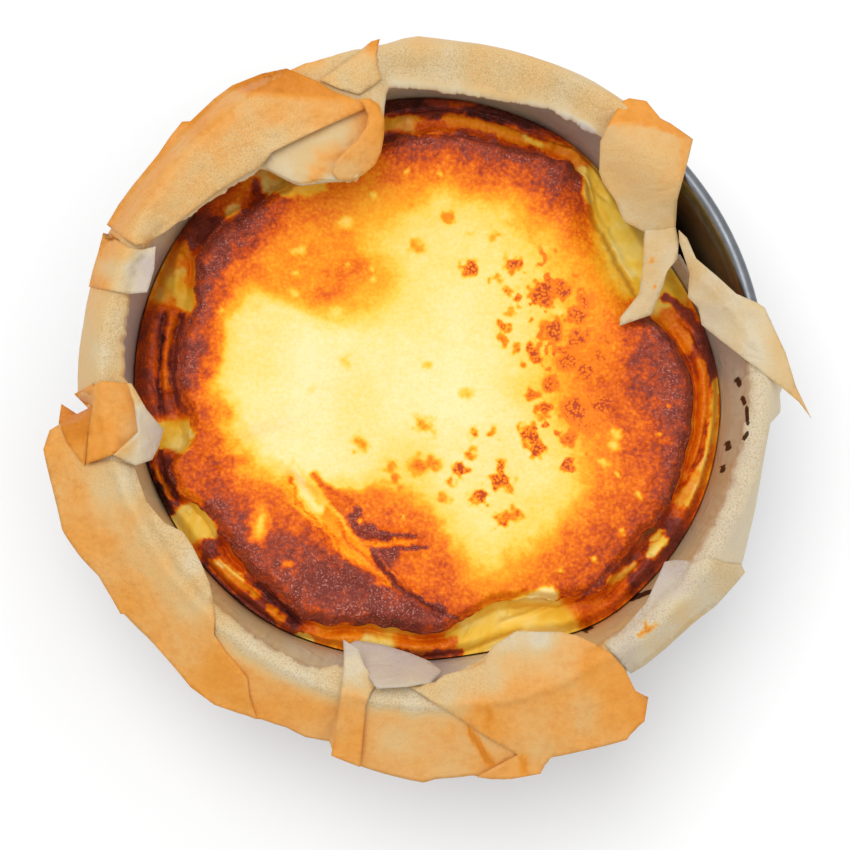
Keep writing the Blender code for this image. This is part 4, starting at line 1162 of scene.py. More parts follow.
# loose flaps: outline of (angle, radius) points as the photo shows them, and either a lift over the
# sheet below or heights at (angle, radius, z) places; toast and speck at (angle, radius, value) places;
# folds are lines with the height of their ridge; tints are patches as above
flaps = {
    "upperLeft": {
        "outline": ((156.6, 98.8), (152.9, 94.5), (141, 88.6), (130.3, 84.5), (126.8, 85.9), (118.6, 84.8),
                    (109.4, 85.2), (104.5, 86.2), (103.4, 88.8), (106, 89.4), (110, 94.3), (112.2, 99.2),
                    (116.2, 106.8), (120.3, 108.9), (125.4, 110.6), (129.1, 110.5), (134.5, 109.9),
                    (135.5, 111.6), (138.5, 111), (142.1, 110.1), (148.9, 110.8), (152.3, 111.4),
                    (156.2, 111.8), (157, 106), (157.4, 101)),
        "lift": 2.0,
        "toast": ((154, 98, 0.50), (150, 100, 0.56), (150, 108, 0.78), (154, 110, 0.80), (140, 97, 0.54),
                  (140, 103, 0.70), (142, 109, 0.86), (131, 88, 0.50), (131, 97, 0.58), (131, 103, 0.76),
                  (133, 109, 0.92), (123, 88, 0.54), (122, 96, 0.70), (119, 90, 0.60), (113, 90, 0.72),
                  (106, 88, 0.84)),
        "speck": ((154, 98, 0.8), (140, 96, 1.0), (130, 94, 1.0), (122, 92, 0.7), (142, 105, 0.3),
                  (130, 106, 0.2), (110, 90, 0.1), (116, 104, 0.0)),
        "folds": ((((108, 86.8), (116, 90.2), (124, 92)), 0.4), (((118, 104), (122, 99), (131, 101)), 0.3)),
        "tints": ((((126.5, 111), (120.4, 110), (115.6, 108), (111.5, 99.5), (107, 89.8), (112, 92.4),
                    (117.5, 97.5), (121, 102), (124, 105)), 0.97, 3.0),),
    },
    "curl": {
        "outline": ((105.8, 89.8), (103.4, 88.7), (102, 86.3), (101.5, 81.5), (102.4, 76.3), (103.9, 71.6),
                    (106.4, 67.9), (110.4, 65.9), (114, 66), (117.1, 67.5), (117.7, 70.4), (115.8, 72.9),
                    (112.1, 75.2), (108.4, 77.4), (105.8, 80.4), (104.8, 84), (105.2, 87.4)),
        "at": ((105, 88.6, 74.2), (102.6, 86, 73), (102, 80, 71.8), (104, 73, 70.4), (109, 68, 69.6),
               (115, 67, 70.2), (117, 70.4, 71.6), (112, 74, 73.4), (106.6, 78.6, 74.6),
               (105.4, 84.6, 74.8), (108.5, 72.5, 72.8), (104, 79.5, 73.8)),
        "toast": ((104, 87.6, 0.88), (102.4, 82, 0.80), (104.6, 78, 0.80), (108, 72, 0.66),
                  (113, 69.5, 0.58), (107, 69, 0.72), (112, 73.6, 0.74)),
        "speck": ((108, 74, 0.15),),
    },
    "topEnd": {
        "outline": ((111.8, 99.3), (107.9, 101.2), (103.6, 104.4), (101.1, 107), (99.5, 107.4),
                    (100.6, 103), (100.8, 98.3), (100.4, 94.4), (103.2, 92.3), (105.5, 91), (109, 94.8)),
        "lift": 1.0,
        "toast": ((101, 106, 0.88), (103, 98, 0.44), (107, 97, 0.46), (110, 98.6, 0.62), (103, 102, 0.58)),
        "speck": ((104, 97, 0.8), (102, 105, 0.1)),
        "folds": ((((100.8, 104), (102.4, 99), (104.5, 94)), 0.35),),
    },
    "left": {
        "outline": ((157.6, 111.8), (160.8, 110.9), (163.7, 110.7), (166.6, 110.4), (166.4, 104),
                    (166.2, 98), (165, 92.6), (160.4, 92.8), (156.2, 95.2), (157.8, 98.9), (158.3, 102.4),
                    (158, 105.6), (157.5, 110)),
        "lift": 0.9,
        "toast": ((160, 109.5, 0.74), (160, 104, 0.64), (163, 103, 0.52), (162, 99, 0.30), (160, 95, 0.10),
                  (164, 94.6, 0.14), (166, 108, 0.84), (165.6, 100, 0.36)),
        "speck": ((162, 100, 0.5), (161, 108, 0.1), (163, 95, 0.1)),
        "folds": ((((159, 99.6), (161.4, 96.6), (161, 93.4)), 0.4),
                  (((158.4, 101.4), (162, 104), (166, 105)), 0.2)),
    },
    "lowerLeft": {
        "outline": ((188.4, 116.5), (189.1, 119.8), (191.7, 122.6), (196.7, 122.5), (199.7, 122.9),
                    (203.5, 124), (207.5, 122.5), (211.4, 120.5), (215.6, 120.8), (218, 121.4),
                    (218.4, 120.2), (224.4, 119.7), (228.9, 120.5), (232.5, 121.9), (236.7, 122),
                    (240.3, 120.3), (242.9, 119.2), (240.4, 114.3), (238.6, 109.9), (236.2, 108.4),
                    (233.2, 107), (230.2, 105.4), (228.4, 101.3), (226.2, 98), (223.3, 95), (220, 93.2),
                    (216, 92), (212.8, 92), (209.6, 95.4), (204.7, 97.4), (197.8, 97.2), (195.8, 103),
                    (195.2, 111.3), (190, 115)),
        "lift": 0.7,
        "toast": ((200, 100, 0.42), (210, 100, 0.40), (218, 96, 0.36), (224, 98, 0.42), (200, 108, 0.54),
                  (207, 107, 0.60), (215, 106, 0.56), (223, 104, 0.56), (228, 106, 0.64), (194, 120, 0.78),
                  (200, 117, 0.72), (208, 114, 0.72), (205, 120, 0.76), (216, 112, 0.72), (216, 118, 0.78),
                  (226, 112, 0.72), (226, 118, 0.78), (234, 112, 0.80), (236, 118, 0.80)),
        "speck": ((200, 100, 0.7), (212, 99, 1.0), (222, 98, 0.9), (204, 106, 0.2), (216, 105, 0.3),
                  (226, 105, 0.2), (205, 115, 0.1), (225, 115, 0.1), (195, 120, 0.4)),
        "folds": ((((197, 104.5), (199, 102.4), (204, 103.4), (206, 101.2)), 0.5),
                  (((205, 108), (210, 110.4), (216, 112), (222, 115)), 0.35),
                  (((212, 104), (218, 105.6), (224, 107.6)), 0.3),
                  (((230.2, 105.4), (232.3, 109), (234.2, 113.3)), 0.5),
                  (((196, 112), (201, 114), (207, 116)), 0.3)),
    },
    "triangleBack": {
        "outline": ((185.4, 115.4), (187.2, 111), (186.2, 106), (190, 107.6), (195.6, 111.6),
                    (191.5, 115.2), (188.2, 116.8)),
        "lift": 1.2,
        "toast": ((187, 113, 0.98), (190, 111, 1.0), (194, 111.6, 0.90)),
        "speck": ((190, 111, 0.1),),
        "folds": ((((186.6, 107), (188.6, 111), (189, 115.6)), 0.5),),
    },
    "triangleTip": {
        "outline": ((182.4, 105.6), (183.4, 108.6), (184, 111.4), (186.8, 107), (185, 104.6)),
        "lift": 1.4,
        "toast": ((184, 109, 0.92), (185, 106, 0.84)),
        "speck": ((184, 108, 0.1),),
    },
    "triangleSide": {
        "outline": ((182.6, 95.2), (182.7, 93.8), (188, 89.8), (192.6, 85.7), (195.4, 88), (197.8, 91.4),
                    (197.9, 96.8), (195, 102.4), (193.6, 98), (192, 93.6), (186.4, 93.4)),
        "at": ((183, 94.6, 74.8), (186.6, 93, 74.6), (192, 92.6, 74.8), (195, 101.4, 74.6),
               (192.6, 86.2, 66.0), (188, 90.2, 71.4), (195.6, 88.6, 67.4), (197.6, 92, 70.4),
               (197.6, 96.4, 72.6)),
        "toast": ((192.6, 87, 0.10), (196, 91, 0.16), (196.6, 96, 0.34), (189, 91.4, 0.24),
                  (185, 93.8, 0.5), (194.4, 99, 0.56)),
        "speck": ((196, 97, 0.3), (192, 88, 0.0)),
        "folds": ((((194.2, 99.5), (195.2, 94), (193.6, 88.5)), 0.5),),
    },
    "triangle": {
        "outline": ((182, 103.2), (182.4, 98), (182.7, 94.2), (185.1, 92.2), (189, 91), (192.4, 90.3),
                    (193.8, 90.6), (194.5, 96), (194.9, 101.5), (195.3, 111), (190, 108), (186.5, 106.2),
                    (183, 105.6)),
        "lift": 2.2,
        "toast": ((184, 97, 0.70), (188, 97, 0.76), (192, 95, 0.70), (186, 103, 0.80), (191, 104, 0.86),
                  (194, 108, 0.90), (193.6, 91.6, 0.56)),
        "speck": ((190, 100, 0.1),),
        "folds": ((((182.8, 99), (186, 96), (190, 91.4)), 0.25),),
    },
    "innerPiece": {
        "outline": ((252.6, 87.8), (253.4, 86.4), (258.8, 85.6), (264.8, 87), (268.7, 89.1), (271.2, 92.3),
                    (269, 95.6), (264.8, 97.2), (259.5, 99), (258.4, 97.4), (256.2, 93.8)),
        "at": ((251.2, 88, 62.5), (258.8, 86.4, 60.5), (265, 87.6, 61), (270.6, 92, 64), (252.4, 98, 72.6),
               (259, 98.6, 73.2), (266, 96.8, 73.4), (257, 92, 67.4), (265, 92.4, 67.8)),
        "toast": ((255, 90, 0.11), (264, 89, 0.10), (262, 94, 0.13), (268, 93, 0.18), (266, 96, 0.22)),
        "speck": ((260, 92, 0.25),),
        "folds": ((((259.2, 97), (258.6, 90), (257.8, 86)), 0.5),
                  (((261, 96), (266, 94.6), (270, 93)), 0.3)),
    },
    "strip": {
        "outline": ((251, 87.2), (252.2, 92), (253, 97), (253.6, 102.7), (254.3, 112), (254.8, 121.4),
                    (257, 122.1), (259.2, 122.8), (258.9, 117.3), (258.5, 110.1), (258.2, 104.6),
                    (258.5, 100.6), (259.3, 97.4), (256.4, 93), (254.4, 88.6)),
        "lift": 1.6,
        "toast": ((252.4, 89, 0.14), (254.4, 94, 0.30), (256, 98, 0.42), (256, 103, 0.62), (256, 110, 0.74),
                  (256, 119, 0.78), (258.2, 114, 0.84)),
        "speck": ((256, 98, 0.4), (256, 112, 0.1)),
        "folds": ((((256.2, 96), (256.4, 104), (256.6, 112), (257, 120)), 0.25),),
    },
    "bottom": {
        "outline": ((264.9, 96.8), (269.7, 95.4), (271.4, 93.3), (275.6, 91.9), (278.9, 90.7),
                    (280.5, 87.8), (281.8, 86), (287, 83.7), (290.9, 85.9), (295.2, 88.7), (297.8, 92),
                    (300.4, 97.9), (301.7, 102.5), (302.2, 108.2), (301.8, 115.5), (302.9, 119.3),
                    (300.6, 124.8), (298.4, 125.6), (297.2, 127), (291, 124.4), (286.6, 123),
                    (285.3, 124.8), (284.4, 126.9), (280.4, 126.5), (277.7, 125.6), (275.6, 124.4),
                    (279, 121.6), (281.9, 119.8), (277.9, 113.1), (274, 107), (270.1, 102.2)),
        "lift": 1.1,
        "toast": ((267, 97.6, 0.44), (273, 98, 0.45), (276, 95, 0.46), (279, 96, 0.52), (274, 103, 0.60),
                  (277, 106, 0.84), (278, 111, 0.80), (284, 92, 0.56), (284, 102, 0.72), (290, 95, 0.62),
                  (290, 104, 0.74), (286, 112, 0.68), (293, 114, 0.66), (286, 120, 0.68), (296, 121, 0.74),
                  (298, 102, 0.84), (300, 110, 0.88), (301, 119, 0.90), (296, 95, 0.62), (280, 123, 0.76),
                  (291, 88, 0.34), (285, 87, 0.32)),
        "speck": ((270, 98, 0.7), (276, 96, 0.8), (283, 94, 0.3), (290, 104, 0.05), (285, 118, 0.1),
                  (276, 104, 0.1)),
        "folds": ((((278.7, 91), (280.5, 94), (280.4, 98.1), (278.9, 105), (277.6, 109), (277.9, 112.4)),
                   0.5),
                  (((280.2, 100.3), (280.7, 107.1), (281.6, 112), (283, 118)), 0.4),
                  (((281, 88.4), (286, 91), (292, 92), (297, 95)), 0.3),
                  (((283, 99), (289, 107), (296, 112)), 0.2)),
        "tints": ((((278.6, 103), (278, 107), (277.4, 110.6), (278.4, 111), (279.4, 106.4)), 0.95, 1.2),
                  (((282, 119.4), (283.4, 121), (282.6, 126.4), (281.6, 126), (281.8, 121.6)), 0.92, 1.0)),
    },
    "lowerRight": {
        "outline": ((301.5, 98.8), (305, 98.2), (312, 96.4), (318, 92.9), (320.1, 91.9), (321.8, 94.3),
                    (323.4, 98.7), (325.2, 101.1), (326, 104.1), (326.5, 107.3), (327.7, 111.6),
                    (326.9, 114), (324.4, 113.4), (320, 112.6), (315.6, 110.9), (309.3, 110.7),
                    (305, 110.8), (302.6, 110.4)),
        "lift": 0.8,
        "toast": ((310, 99, 0.22), (318, 97, 0.20), (320, 93.6, 0.10), (312, 103, 0.28), (322, 103, 0.28),
                  (306, 101, 0.26), (308, 108, 0.42), (316, 108, 0.42), (324, 110, 0.40)),
        "speck": ((312, 102, 1.0), (321, 102, 1.0), (306, 102, 0.9), (316, 96, 0.2), (316, 109, 0.0),
                  (306, 109, 0.1)),
        "folds": ((((318, 94), (316, 99), (317, 105)), 0.3),
                  (((308.6, 99.6), (309.6, 103), (307, 106)), 0.3)),
        "tints": ((((306.6, 102.6), (308.4, 101.8), (311.4, 103.2), (309, 103.8)), 1.0, 0.5),
                  (((309.2, 99.8), (309.8, 100.2), (309.6, 102.4), (309, 102)), 1.0, 0.4)),
    },
    "band": {
        "outline": ((30.6, 89), (28.3, 90), (23.8, 89.6), (19, 93.7), (14.8, 97.8), (12.4, 103.5),
                    (11.3, 105.5), (3.3, 110), (-2.3, 113), (-7, 118.4), (-4.6, 114), (-2.4, 108.3),
                    (1.7, 98.5), (6.8, 89.4), (10.2, 84.7), (13.9, 84.9), (16.7, 82.6), (21.5, 85.8),
                    (28.4, 87.2)),
        "at": ((29.8, 88.4, 62), (22, 88, 65), (16, 83.4, 62), (10.5, 85.4, 63), (7, 90, 66.5),
               (18.6, 92.8, 69.5), (14, 97, 73.2), (5, 95, 71), (2, 99, 73.2), (10.4, 103, 74.4),
               (4, 105, 74.4), (-1.6, 106, 73.4), (3, 109, 71.6), (-2.4, 111.8, 69.6), (-7, 118, 65.5),
               (14, 90, 68)),
        "toast": ((24, 88, 0.42), (14, 90, 0.36), (12, 98, 0.40), (5, 98, 0.32), (6, 106, 0.46),
                  (0, 108, 0.40), (-5, 114, 0.52)),
        "speck": ((12, 94, 0.25), (0, 108, 0.1)),
        "folds": ((((20, 88), (14, 93), (8, 98), (2, 104), (-2, 110)), 0.5),
                  (((16.4, 84), (13, 91), (12, 99)), 0.4), (((9, 88), (6, 96), (5, 103)), 0.3)),
    },
    "ribbonEnd": {
        "outline": ((34.4, 80), (33, 78), (30.9, 76.1), (27.6, 73.4), (25.1, 71.2), (21.2, 68.4),
                    (16.6, 60.2), (14.2, 59.2), (15, 69.9), (20.7, 76.2), (23.7, 79.4), (25.3, 84.1),
                    (28.4, 87.1), (31.4, 88.6), (33.4, 85)),
        "at": ((33.4, 80.6, 61), (30.6, 87, 61.4), (25, 72, 58), (25.4, 82, 60.6), (20.4, 69.4, 56.6),
               (20.4, 75.2, 58), (16, 61, 54.8), (15.4, 68.6, 56.2), (27, 78, 60.6)),
        "toast": ((31, 83, 0.44), (24, 76, 0.40), (17, 65, 0.42)),
        "speck": ((24, 76, 0.3),),
        "folds": ((((31, 86.4), (27, 80), (21.6, 73), (16, 64)), 0.5),
                  (((25, 82), (22, 76), (17, 69)), 0.3)),
        "tints": ((((28.2, 76.3), (28.6, 76.9), (27.2, 76.6), (26.8, 75.9)), 1.0, 0.4),
                  (((21.3, 73.6), (21.9, 73.9), (20.6, 74.4)), 1.0, 0.4)),
    },
    "ribbon": {
        "outline": ((50.9, 81.8), (54.7, 90.1), (55.4, 96.2), (55.7, 104.9), (55, 107.1), (52.4, 109.7),
                    (48.7, 108.2), (46.8, 109.2), (42.4, 110.7), (40.1, 104.4), (35.7, 94), (31.2, 88.4),
                    (32.4, 84), (34.2, 79.3), (39, 76.1), (44, 78.6), (48.7, 80)),
        "at": ((55, 106, 71), (48, 108, 70), (42.4, 110.5, 67.6), (54.8, 97, 74.4), (48.4, 103.6, 75),
               (43.4, 107, 74.2), (54.5, 90, 71), (46, 94, 73.4), (38, 98, 72.6), (50.9, 82, 66),
               (44, 80, 63.6), (39, 77, 61.4), (34.2, 80, 61.2), (31.5, 88, 61.6), (35.7, 93, 67.4),
               (41, 88, 69)),
        "toast": ((48, 98, 0.56), (44, 90, 0.52), (52, 92, 0.52), (36, 84, 0.46), (38, 93, 0.52),
                  (45, 82, 0.50), (40, 101, 0.60)),
        "speck": ((46, 96, 0.45), (42, 84, 0.3), (52, 104, 0.0)),
        "folds": ((((55.2, 93.5), (54.6, 97), (51, 101.4), (47.8, 104.4), (43.2, 108.4)), 0.5),
                  (((52, 86), (46, 92), (44, 98), (45, 104)), 0.25),
                  (((37, 80), (38, 88), (37, 94)), 0.25)),
        "tints": ((((55.9, 93), (54.9, 96.8), (51, 101.6), (47.8, 104.6), (43.4, 108.6), (42, 112),
                    (50, 112), (56.5, 109)), 0.85, 0.8),
                  (((42.6, 111), (43.8, 107.6), (41.6, 103.4), (38.6, 98.5), (38, 99), (41, 106)), 0.74,
                   1.2)),
    },
}


def blendOf(places, x, y):
    # value at x, y between (angle, radius, value) places, the nearer the stronger
    total, weights = np.zeros(x.shape), np.zeros(x.shape)
    for angle, radius, value in places:
        (cx, cy), = place([(angle, radius)])
        weight = 1.0 / ((x - cx) ** 2 + (y - cy) ** 2 + 4.0) ** 1.6
        total += weight * value
        weights += weight
    return total / weights


def surfaceThrough(places, x, y):
    # smooth height near (angle, radius, z) places
    spots = np.array(place([(a, r) for a, r, z in places]))
    heights = np.array([z for a, r, z in places])

    def bend(px, py):
        square = (px[:, None] - spots[None, :, 0]) ** 2 + (py[:, None] - spots[None, :, 1]) ** 2
        return 0.5 * square * np.log(square + 1e-6)

    count = len(places)
    flat = np.column_stack((np.ones(count), spots))
    system = np.zeros((count + 3, count + 3))
    system[:count, :count] = bend(spots[:, 0], spots[:, 1]) + paper["stiffness"] * np.eye(count)
    system[:count, count:] = flat
    system[count:, :count] = flat.T
    answer = np.linalg.solve(system, np.concatenate((heights, np.zeros(3))))
    return bend(x, y) @ answer[:count] + np.column_stack((np.ones(len(x)), x, y)) @ answer[count:]


def divided(points, spacing, closed):
    # points along a line of x, y points, no further apart than the spacing
    line = list(points) + ([points[0]] if closed else [])
    made = []
    for (ax, ay), (bx, by) in zip(line, line[1:]):
        count = max(1, math.ceil(math.hypot(bx - ax, by - ay) / spacing))
        made += [(mix(ax, bx, i / count), mix(ay, by, i / count)) for i in range(count)]
    return made if closed else made + [line[-1]]


def cutFlap(outline, folds, spacing, seed):
    # flat triangles that fill the outline, with edges along the folds
    rng = np.random.default_rng(seed)
    border = divided(place(outline), spacing * 0.7, True)
    xs, ys = np.array(border).T
    gx, gy = np.meshgrid(np.arange(xs.min(), xs.max(), spacing), np.arange(ys.min(), ys.max(), spacing))
    gx = (gx + rng.uniform(-0.22, 0.22, gx.shape) * spacing).ravel()
    gy = (gy + rng.uniform(-0.22, 0.22, gy.shape) * spacing).ravel()
    fits = inside(border, gx, gy) > 0.5 * spacing
    points = list(border)
    edges = []
    for line, _ in folds:
        steps = np.array(divided(place(line), spacing * 0.8, False))
        steps = steps[inside(border, steps[:, 0], steps[:, 1]) > 0.3 * spacing]
        if len(steps) > 1:
            fits &= toLine(steps.tolist(), gx, gy)[0] > 0.45 * spacing
            edges += [(len(points) + i, len(points) + i + 1) for i in range(len(steps) - 1)]
            points += [tuple(step) for step in steps]
    points += list(zip(gx[fits], gy[fits]))
    flat = delaunay_2d_cdt([Vector(point) for point in points], edges, [list(range(len(border)))], 1, 1e-5)
    return np.array([tuple(point) for point in flat[0]]), [list(face) for face in flat[2]]


def makeFlaps(under):
    columns = paper["columns"]
    waveHeight, waveSize, waveSeed = paper["flapWave"]
    parts = []
    for number, flap in enumerate(flaps.values()):
        folds = flap.get("folds", ())
        flat, faces = cutFlap(flap["outline"], folds, paper["spacing"], paper["cutSeed"] + number)
        x, y = flat[:, 0], flat[:, 1]
        if "at" in flap:
            z = surfaceThrough(flap["at"], x, y)
        else:
            column = np.round(np.degrees(np.arctan2(y, x)) / 360.0 * columns).astype(int) % columns
            radius = np.hypot(x, y)
            z = np.array([np.interp(r, under[0][:, c], under[1][:, c]) for r, c in zip(radius, column)])
            z += flap["lift"]
        for line, ridge in folds:
            z += 0.8 * ridge * np.exp(-toLine(place(line), x, y)[0] / 1.2)
        z += paper["facet"] * sum(part * facets(x, y, size, seed + number)
                                  for part, size, seed in paper["flapFacets"])
        edge = inside(place(flap["outline"]), x, y)
        z += waveHeight * clouds(x, y, waveSize, waveSeed + number) * (1.0 - ease(0.0, 3.0, edge))
        toast = blendOf(flap["toast"], x, y) + 0.05 * clouds(x, y, 7.0, 91)
        for outline, value, soft in flap.get("tints", ()):
            toast = mix(toast, value, patch(outline, soft, x, y))
        speck = blendOf(flap["speck"], x, y)
        realX, realY = seenAt(x, y, shot["paperLevel"], z)
        points = np.column_stack((realX, realY, z))
        points = np.vstack((points, points - (0.0, 0.0, paper["thick"])))
        layers = {"toast": np.tile(np.clip(toast, 0, 1), 2), "speck": np.tile(np.clip(speck, 0, 1), 2)}
        parts.append((points, closeSheet(faces, len(x)), layers))
    return parts


def makePaper():
    points, faces, layers, under = makeSheet()
    parts = [(points, faces, layers)] + makeFlaps(under)
    allPoints, allFaces = [], []
    joined = {"toast": [], "speck": []}
    start = 0
    for points, faces, layers in parts:
        used = np.zeros(len(points), dtype=bool)
        used[[corner for face in faces for corner in face]] = True
        number = (np.cumsum(used) - 1 + start).tolist()
        allPoints.append(points[used])
        allFaces += [[number[corner] for corner in face] for face in faces]
        for key, values in joined.items():
            values.append(layers[key][used])
        start += int(used.sum())
    layers = {key: np.concatenate(values) for key, values in joined.items()}
    piece = meshPiece("parchmentSheet", np.vstack(allPoints), allFaces, layers)
    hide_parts("parchment")
    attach(piece, "root")
    return piece


paperColours = (
    # the lowest stop is the grey of the inner wall, darkened with painted shade
    (0.00, paint(196, 178, 160)),
    (0.10, paint(202, 188, 180)),
    (0.20, paint(212, 198, 180)),
    (0.33, paint(226, 212, 178)),
    (0.46, paint(226, 196, 140)),
    (0.58, paint(234, 190, 120)),
    (0.70, paint(239, 178, 94)),
    (0.82, paint(240, 166, 66)),
    (0.92, paint(234, 150, 36)),
    (1.00, paint(216, 128, 10)),
)
paperTouches = {
    "dots": paint(186, 142, 76),
    "toasted": paint(222, 138, 42),
    "pores": paint(240, 226, 190),
    "marks": paint(74, 44, 26),
    "through": paint(255, 226, 170),
}


def paperFinish():
    m = Finish("bakingParchment")
    toast, speck = m.layer("toast"), m.layer("speck")
    cloud = m.noise(110.0, 4.0, 0.6)
    fibre = m.noise(700.0, 3.0, 0.6)
    level = m.plus(toast, m.times(m.minus(cloud, 0.5), 0.16))
    level = m.plus(level, m.times(m.minus(fibre, 0.5), 0.10))
    colour = m.ramp(level, paperColours)
    dots = m.band(m.noise(2100.0, 3.0, 0.7), 0.48, 0.62)
    colour = m.blend(m.times(dots, m.times(speck, 0.55)), colour, paperTouches["dots"])
    # toasted parts are mottled
    toasted = m.band(toast, 0.45, 0.75)
    patchy = m.band(m.noise(340.0, 5.0, 0.75), 0.42, 0.66)
    colour = m.blend(m.times(toasted, m.times(patchy, 0.38)), colour, paperTouches["toasted"])
    pores = m.band(m.noise(1500.0, 2.0, 0.6), 0.56, 0.72)
    colour = m.blend(m.times(pores, m.times(speck, 0.35)), colour, paperTouches["pores"])
    # marks are where the speck layer falls below zero
    colour = m.blend(m.band(speck, -0.15, -0.8), colour, paperTouches["marks"])
    m.shade("Base Color", colour)
    m.shade("Roughness", m.scaled(fibre, 0.2, 0.42))
    m.shade("Specular IOR Level", 0.35)
    wrinkle = m.plus(m.times(fibre, 0.4), m.times(m.noise(260.0, 3.0, 0.5, 0.6), 0.8))
    crease = m.maths("ABSOLUTE", m.minus(m.noise(75.0, 2.0, 0.5, 1.2), 0.5))
    wrinkle = m.scaled(crease, 5.0, wrinkle)
    m.shade("Normal", m.bump(wrinkle, 0.4, 0.0005))
    # light comes through the thin sheet
    through = m.add("ShaderNodeBsdfTranslucent")
    m.link(m.blend(1.0, colour, paperTouches["through"], "MULTIPLY"), through.inputs["Color"])
    share = m.add("ShaderNodeMixShader")
    share.inputs[0].default_value = 0.22
    m.link(m.shader.outputs[0], share.inputs[1])
    m.link(through.outputs[0], share.inputs[2])
    m.link(share.outputs[0], m.tree.nodes["Material Output"].inputs["Surface"])
    return m.material


tin = {
    "innerR": 100.0,
    "height": 71.2,
    "wall": 0.8,
    "beadR": 2.2,
    "beadOut": 2.3,                 # middle of the bead, out from the inner wall
    "beadFrom": 184.0,
    "beadTo": -150.0,
    "beadEnd": 1.6,                 # how far below the middle its inner end comes
    "steps": 256,
    # (radius, z) places of the floor, its rounded corner and the wall inside
    "inside": ((0.0, 0.8), (60.0, 0.8), (97.2, 0.8), (98.6, 1.0), (99.4, 1.6), (99.85, 2.5), (100.0, 3.4),
               (100.0, 30.0), (100.0, 60.0)),
    # the same outside, out from the wall, and under the floor
    "outside": ((0.0, 60.0), (0.0, 30.0), (0.0, 3.2), (-0.2, 2.0), (-0.9, 0.9), (-2.0, 0.3)),
    "foot": ((97.6, 0.0), (60.0, 0.0), (0.0, 0.0)),
    "steel": ((0.3, paint(118, 121, 126)), (0.7, paint(138, 141, 146))),
    # dark browns of the painted reflection of the cake and painted shade inside the tin
    "brown": ((0.3, paint(58, 42, 22)), (0.7, paint(104, 84, 52))),
}


def makeTin():
    beadX, beadZ = tin["innerR"] + tin["beadOut"], tin["height"] - tin["beadR"]
    outer = tin["innerR"] + tin["wall"]
    profile = list(tin["inside"])
    for turn in np.radians(np.linspace(tin["beadFrom"], tin["beadTo"], 30)):
        profile.append((beadX + tin["beadR"] * math.cos(turn), beadZ + tin["beadR"] * math.sin(turn)))
    profile.append((outer, beadZ - tin["beadEnd"]))
    profile += [(outer + r, z) for r, z in tin["outside"]]
    profile += tin["foot"]
    mesh = bpy.data.meshes.new("tinBody")
    edges = [(i, i + 1) for i in range(len(profile) - 1)]
    mesh.from_pydata([(r * mm, 0.0, z * mm) for r, z in profile], edges, [])
    piece = addObject("tinBody", mesh)
    turned = piece.modifiers.new("turn", "SCREW")
    turned.axis = "Z"
    turned.steps = turned.render_steps = tin["steps"]
    turned.use_merge_vertices = True
    turned.merge_threshold = 0.00001
    turned.use_smooth_shade = True
    made = bpy.data.meshes.new_from_object(piece.evaluated_get(bpy.context.evaluated_depsgraph_get()))
    piece.modifiers.clear()
    piece.data = made
    made.shade_smooth()
    made.set_sharp_from_angle(angle=math.radians(50.0))
    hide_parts("tin")
    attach(piece, "root")
    return piece


def tinFinish():
    m = Finish("tinSteel")
    split = m.add("ShaderNodeSeparateXYZ")
    m.link(m.place, split.inputs[0])
    squares = [m.maths("POWER", split.outputs[axis], 2.0) for axis in (0, 1)]
    fromAxis = m.maths("SQRT", m.plus(*squares))
    within = m.minus(1.0, m.band(fromAxis, 0.1002, 0.1006))
    # baked-on brown inside, below the part that the paper kept clean
    low = m.band(split.outputs[2], 0.069, 0.058)
    # painted reflection of the cake and painted shade: dark brown inside the tin, coming in below the rim,
    # where the tin is also less metallic and rougher
    reflectionClouds = m.noise(60.0, 4.0, 0.6)
    reflectionAndShade = m.times(within, m.band(m.plus(low, m.times(m.minus(reflectionClouds, 0.5), 0.7)), 0.15, 0.9))
    steel = m.ramp(m.noise(240.0, 3.0, 0.6), tin["steel"])
    m.shade("Base Color", m.blend(reflectionAndShade, steel, m.ramp(reflectionClouds, tin["brown"])))
    m.shade("Metallic", m.minus(1.0, m.times(reflectionAndShade, 0.6)))
    m.shade("Roughness", m.scaled(m.noise(300.0, 3.0), 0.2, m.scaled(reflectionAndShade, 0.2, 0.26)))
    m.shade("Normal", m.bump(m.noise(1300.0, 2.0), 0.06, 0.0002))
    return m.material


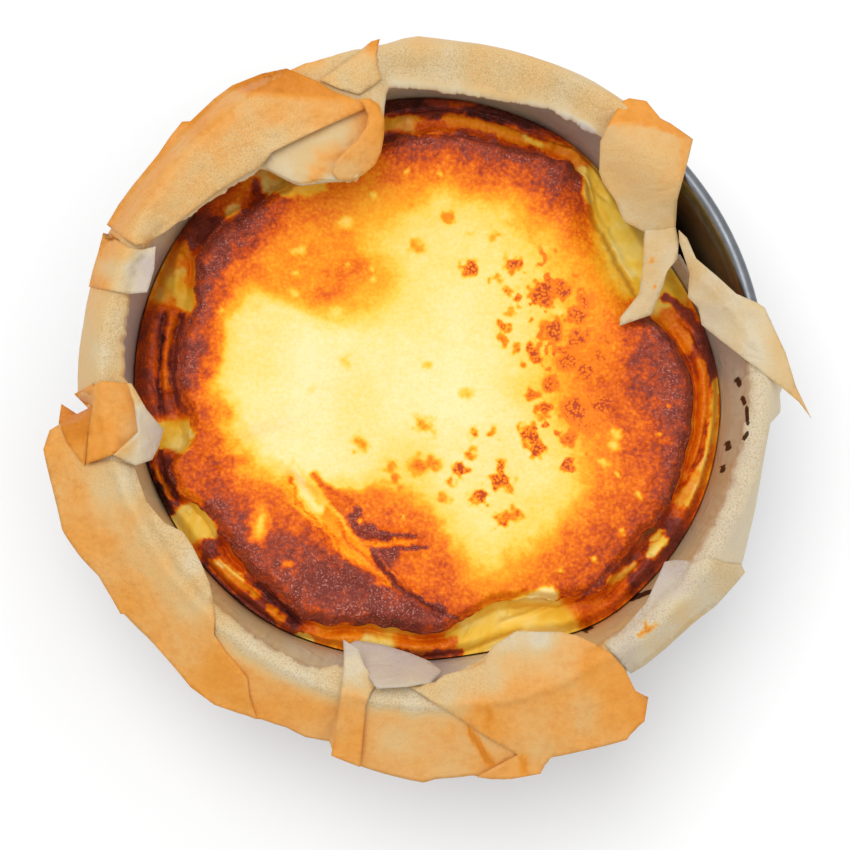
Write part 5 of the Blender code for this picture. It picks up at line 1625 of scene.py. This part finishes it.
studio = {
    "floorColour": (250, 250, 250),
    "floorHalf": 3.0,
    "floorRough": 0.9,
    "world": 0.66,
    "aim": (0.0, 0.0, 0.05),
    "lights": {
        "keyLight": {"at": (-0.32, 0.28, 1.0), "size": 0.9, "power": 5.6},
        "fillLight": {"at": (0.75, -0.35, 0.75), "size": 1.0, "power": 2.2},
        "glossLight": {"at": (0.25, 0.75, 0.55), "size": 0.4, "power": 1.0},
    },
}


def makeLight(name, at, size, power):
    data = bpy.data.lights.new(name, "AREA")
    data.shape = "DISK"
    data.size = size
    data.energy = power
    lamp = addObject(name, data)
    lamp.location = at
    lamp.rotation_euler = (Vector(studio["aim"]) - Vector(at)).to_track_quat("-Z", "Y").to_euler()


def makeStudio():
    half = studio["floorHalf"]
    corners = [(-half, -half, 0), (half, -half, 0), (half, half, 0), (-half, half, 0)]
    mesh = bpy.data.meshes.new("studioFloor")
    mesh.from_pydata(corners, [], [(0, 1, 2, 3)])
    floor = addObject("studioFloor", mesh)
    m = Finish("plainFloor")
    m.shade("Base Color", paint(*studio["floorColour"]))
    m.shade("Roughness", studio["floorRough"])
    mesh.materials.append(m.material)
    world = bpy.data.worlds.new("studioWorld")
    world.use_nodes = True
    background = world.node_tree.nodes["Background"]
    background.inputs["Color"].default_value = (1.0, 1.0, 1.0, 1.0)
    background.inputs["Strength"].default_value = studio["world"]
    bpy.context.scene.world = world
    for name, setting in studio["lights"].items():
        makeLight(name, setting["at"], setting["size"], setting["power"])
    bpy.context.scene.view_settings.view_transform = "Standard"


def makeCamera():
    eye = Vector(shot["eye"]) * mm
    look = (Vector(shot["target"]) * mm - eye).normalized()
    right = look.cross(Vector((0.0, 1.0, 0.0))).normalized()
    up = right.cross(look)
    data = bpy.data.cameras.new("photoCamera")
    data.lens = shot["lens"]
    data.sensor_width = shot["sensor"]
    camera = addObject("photoCamera", data)
    camera.location = eye
    camera.rotation_euler = Matrix((right, up, -look)).transposed().to_euler()
    bpy.context.scene.camera = camera


cakePiece = makeCake()
cakePiece.data.materials.append(crustFinish())
print("cheesecake made:", len(cakePiece.data.polygons), "faces")
paperPiece = makePaper()
paperPiece.data.materials.append(paperFinish())
print("parchment made:", len(paperPiece.data.polygons), "faces")
tinPiece = makeTin()
tinPiece.data.materials.clear()
tinPiece.data.materials.append(tinFinish())
print("tin made:", len(tinPiece.data.polygons), "faces")
makeStudio()
makeCamera()
print("studio and camera set")
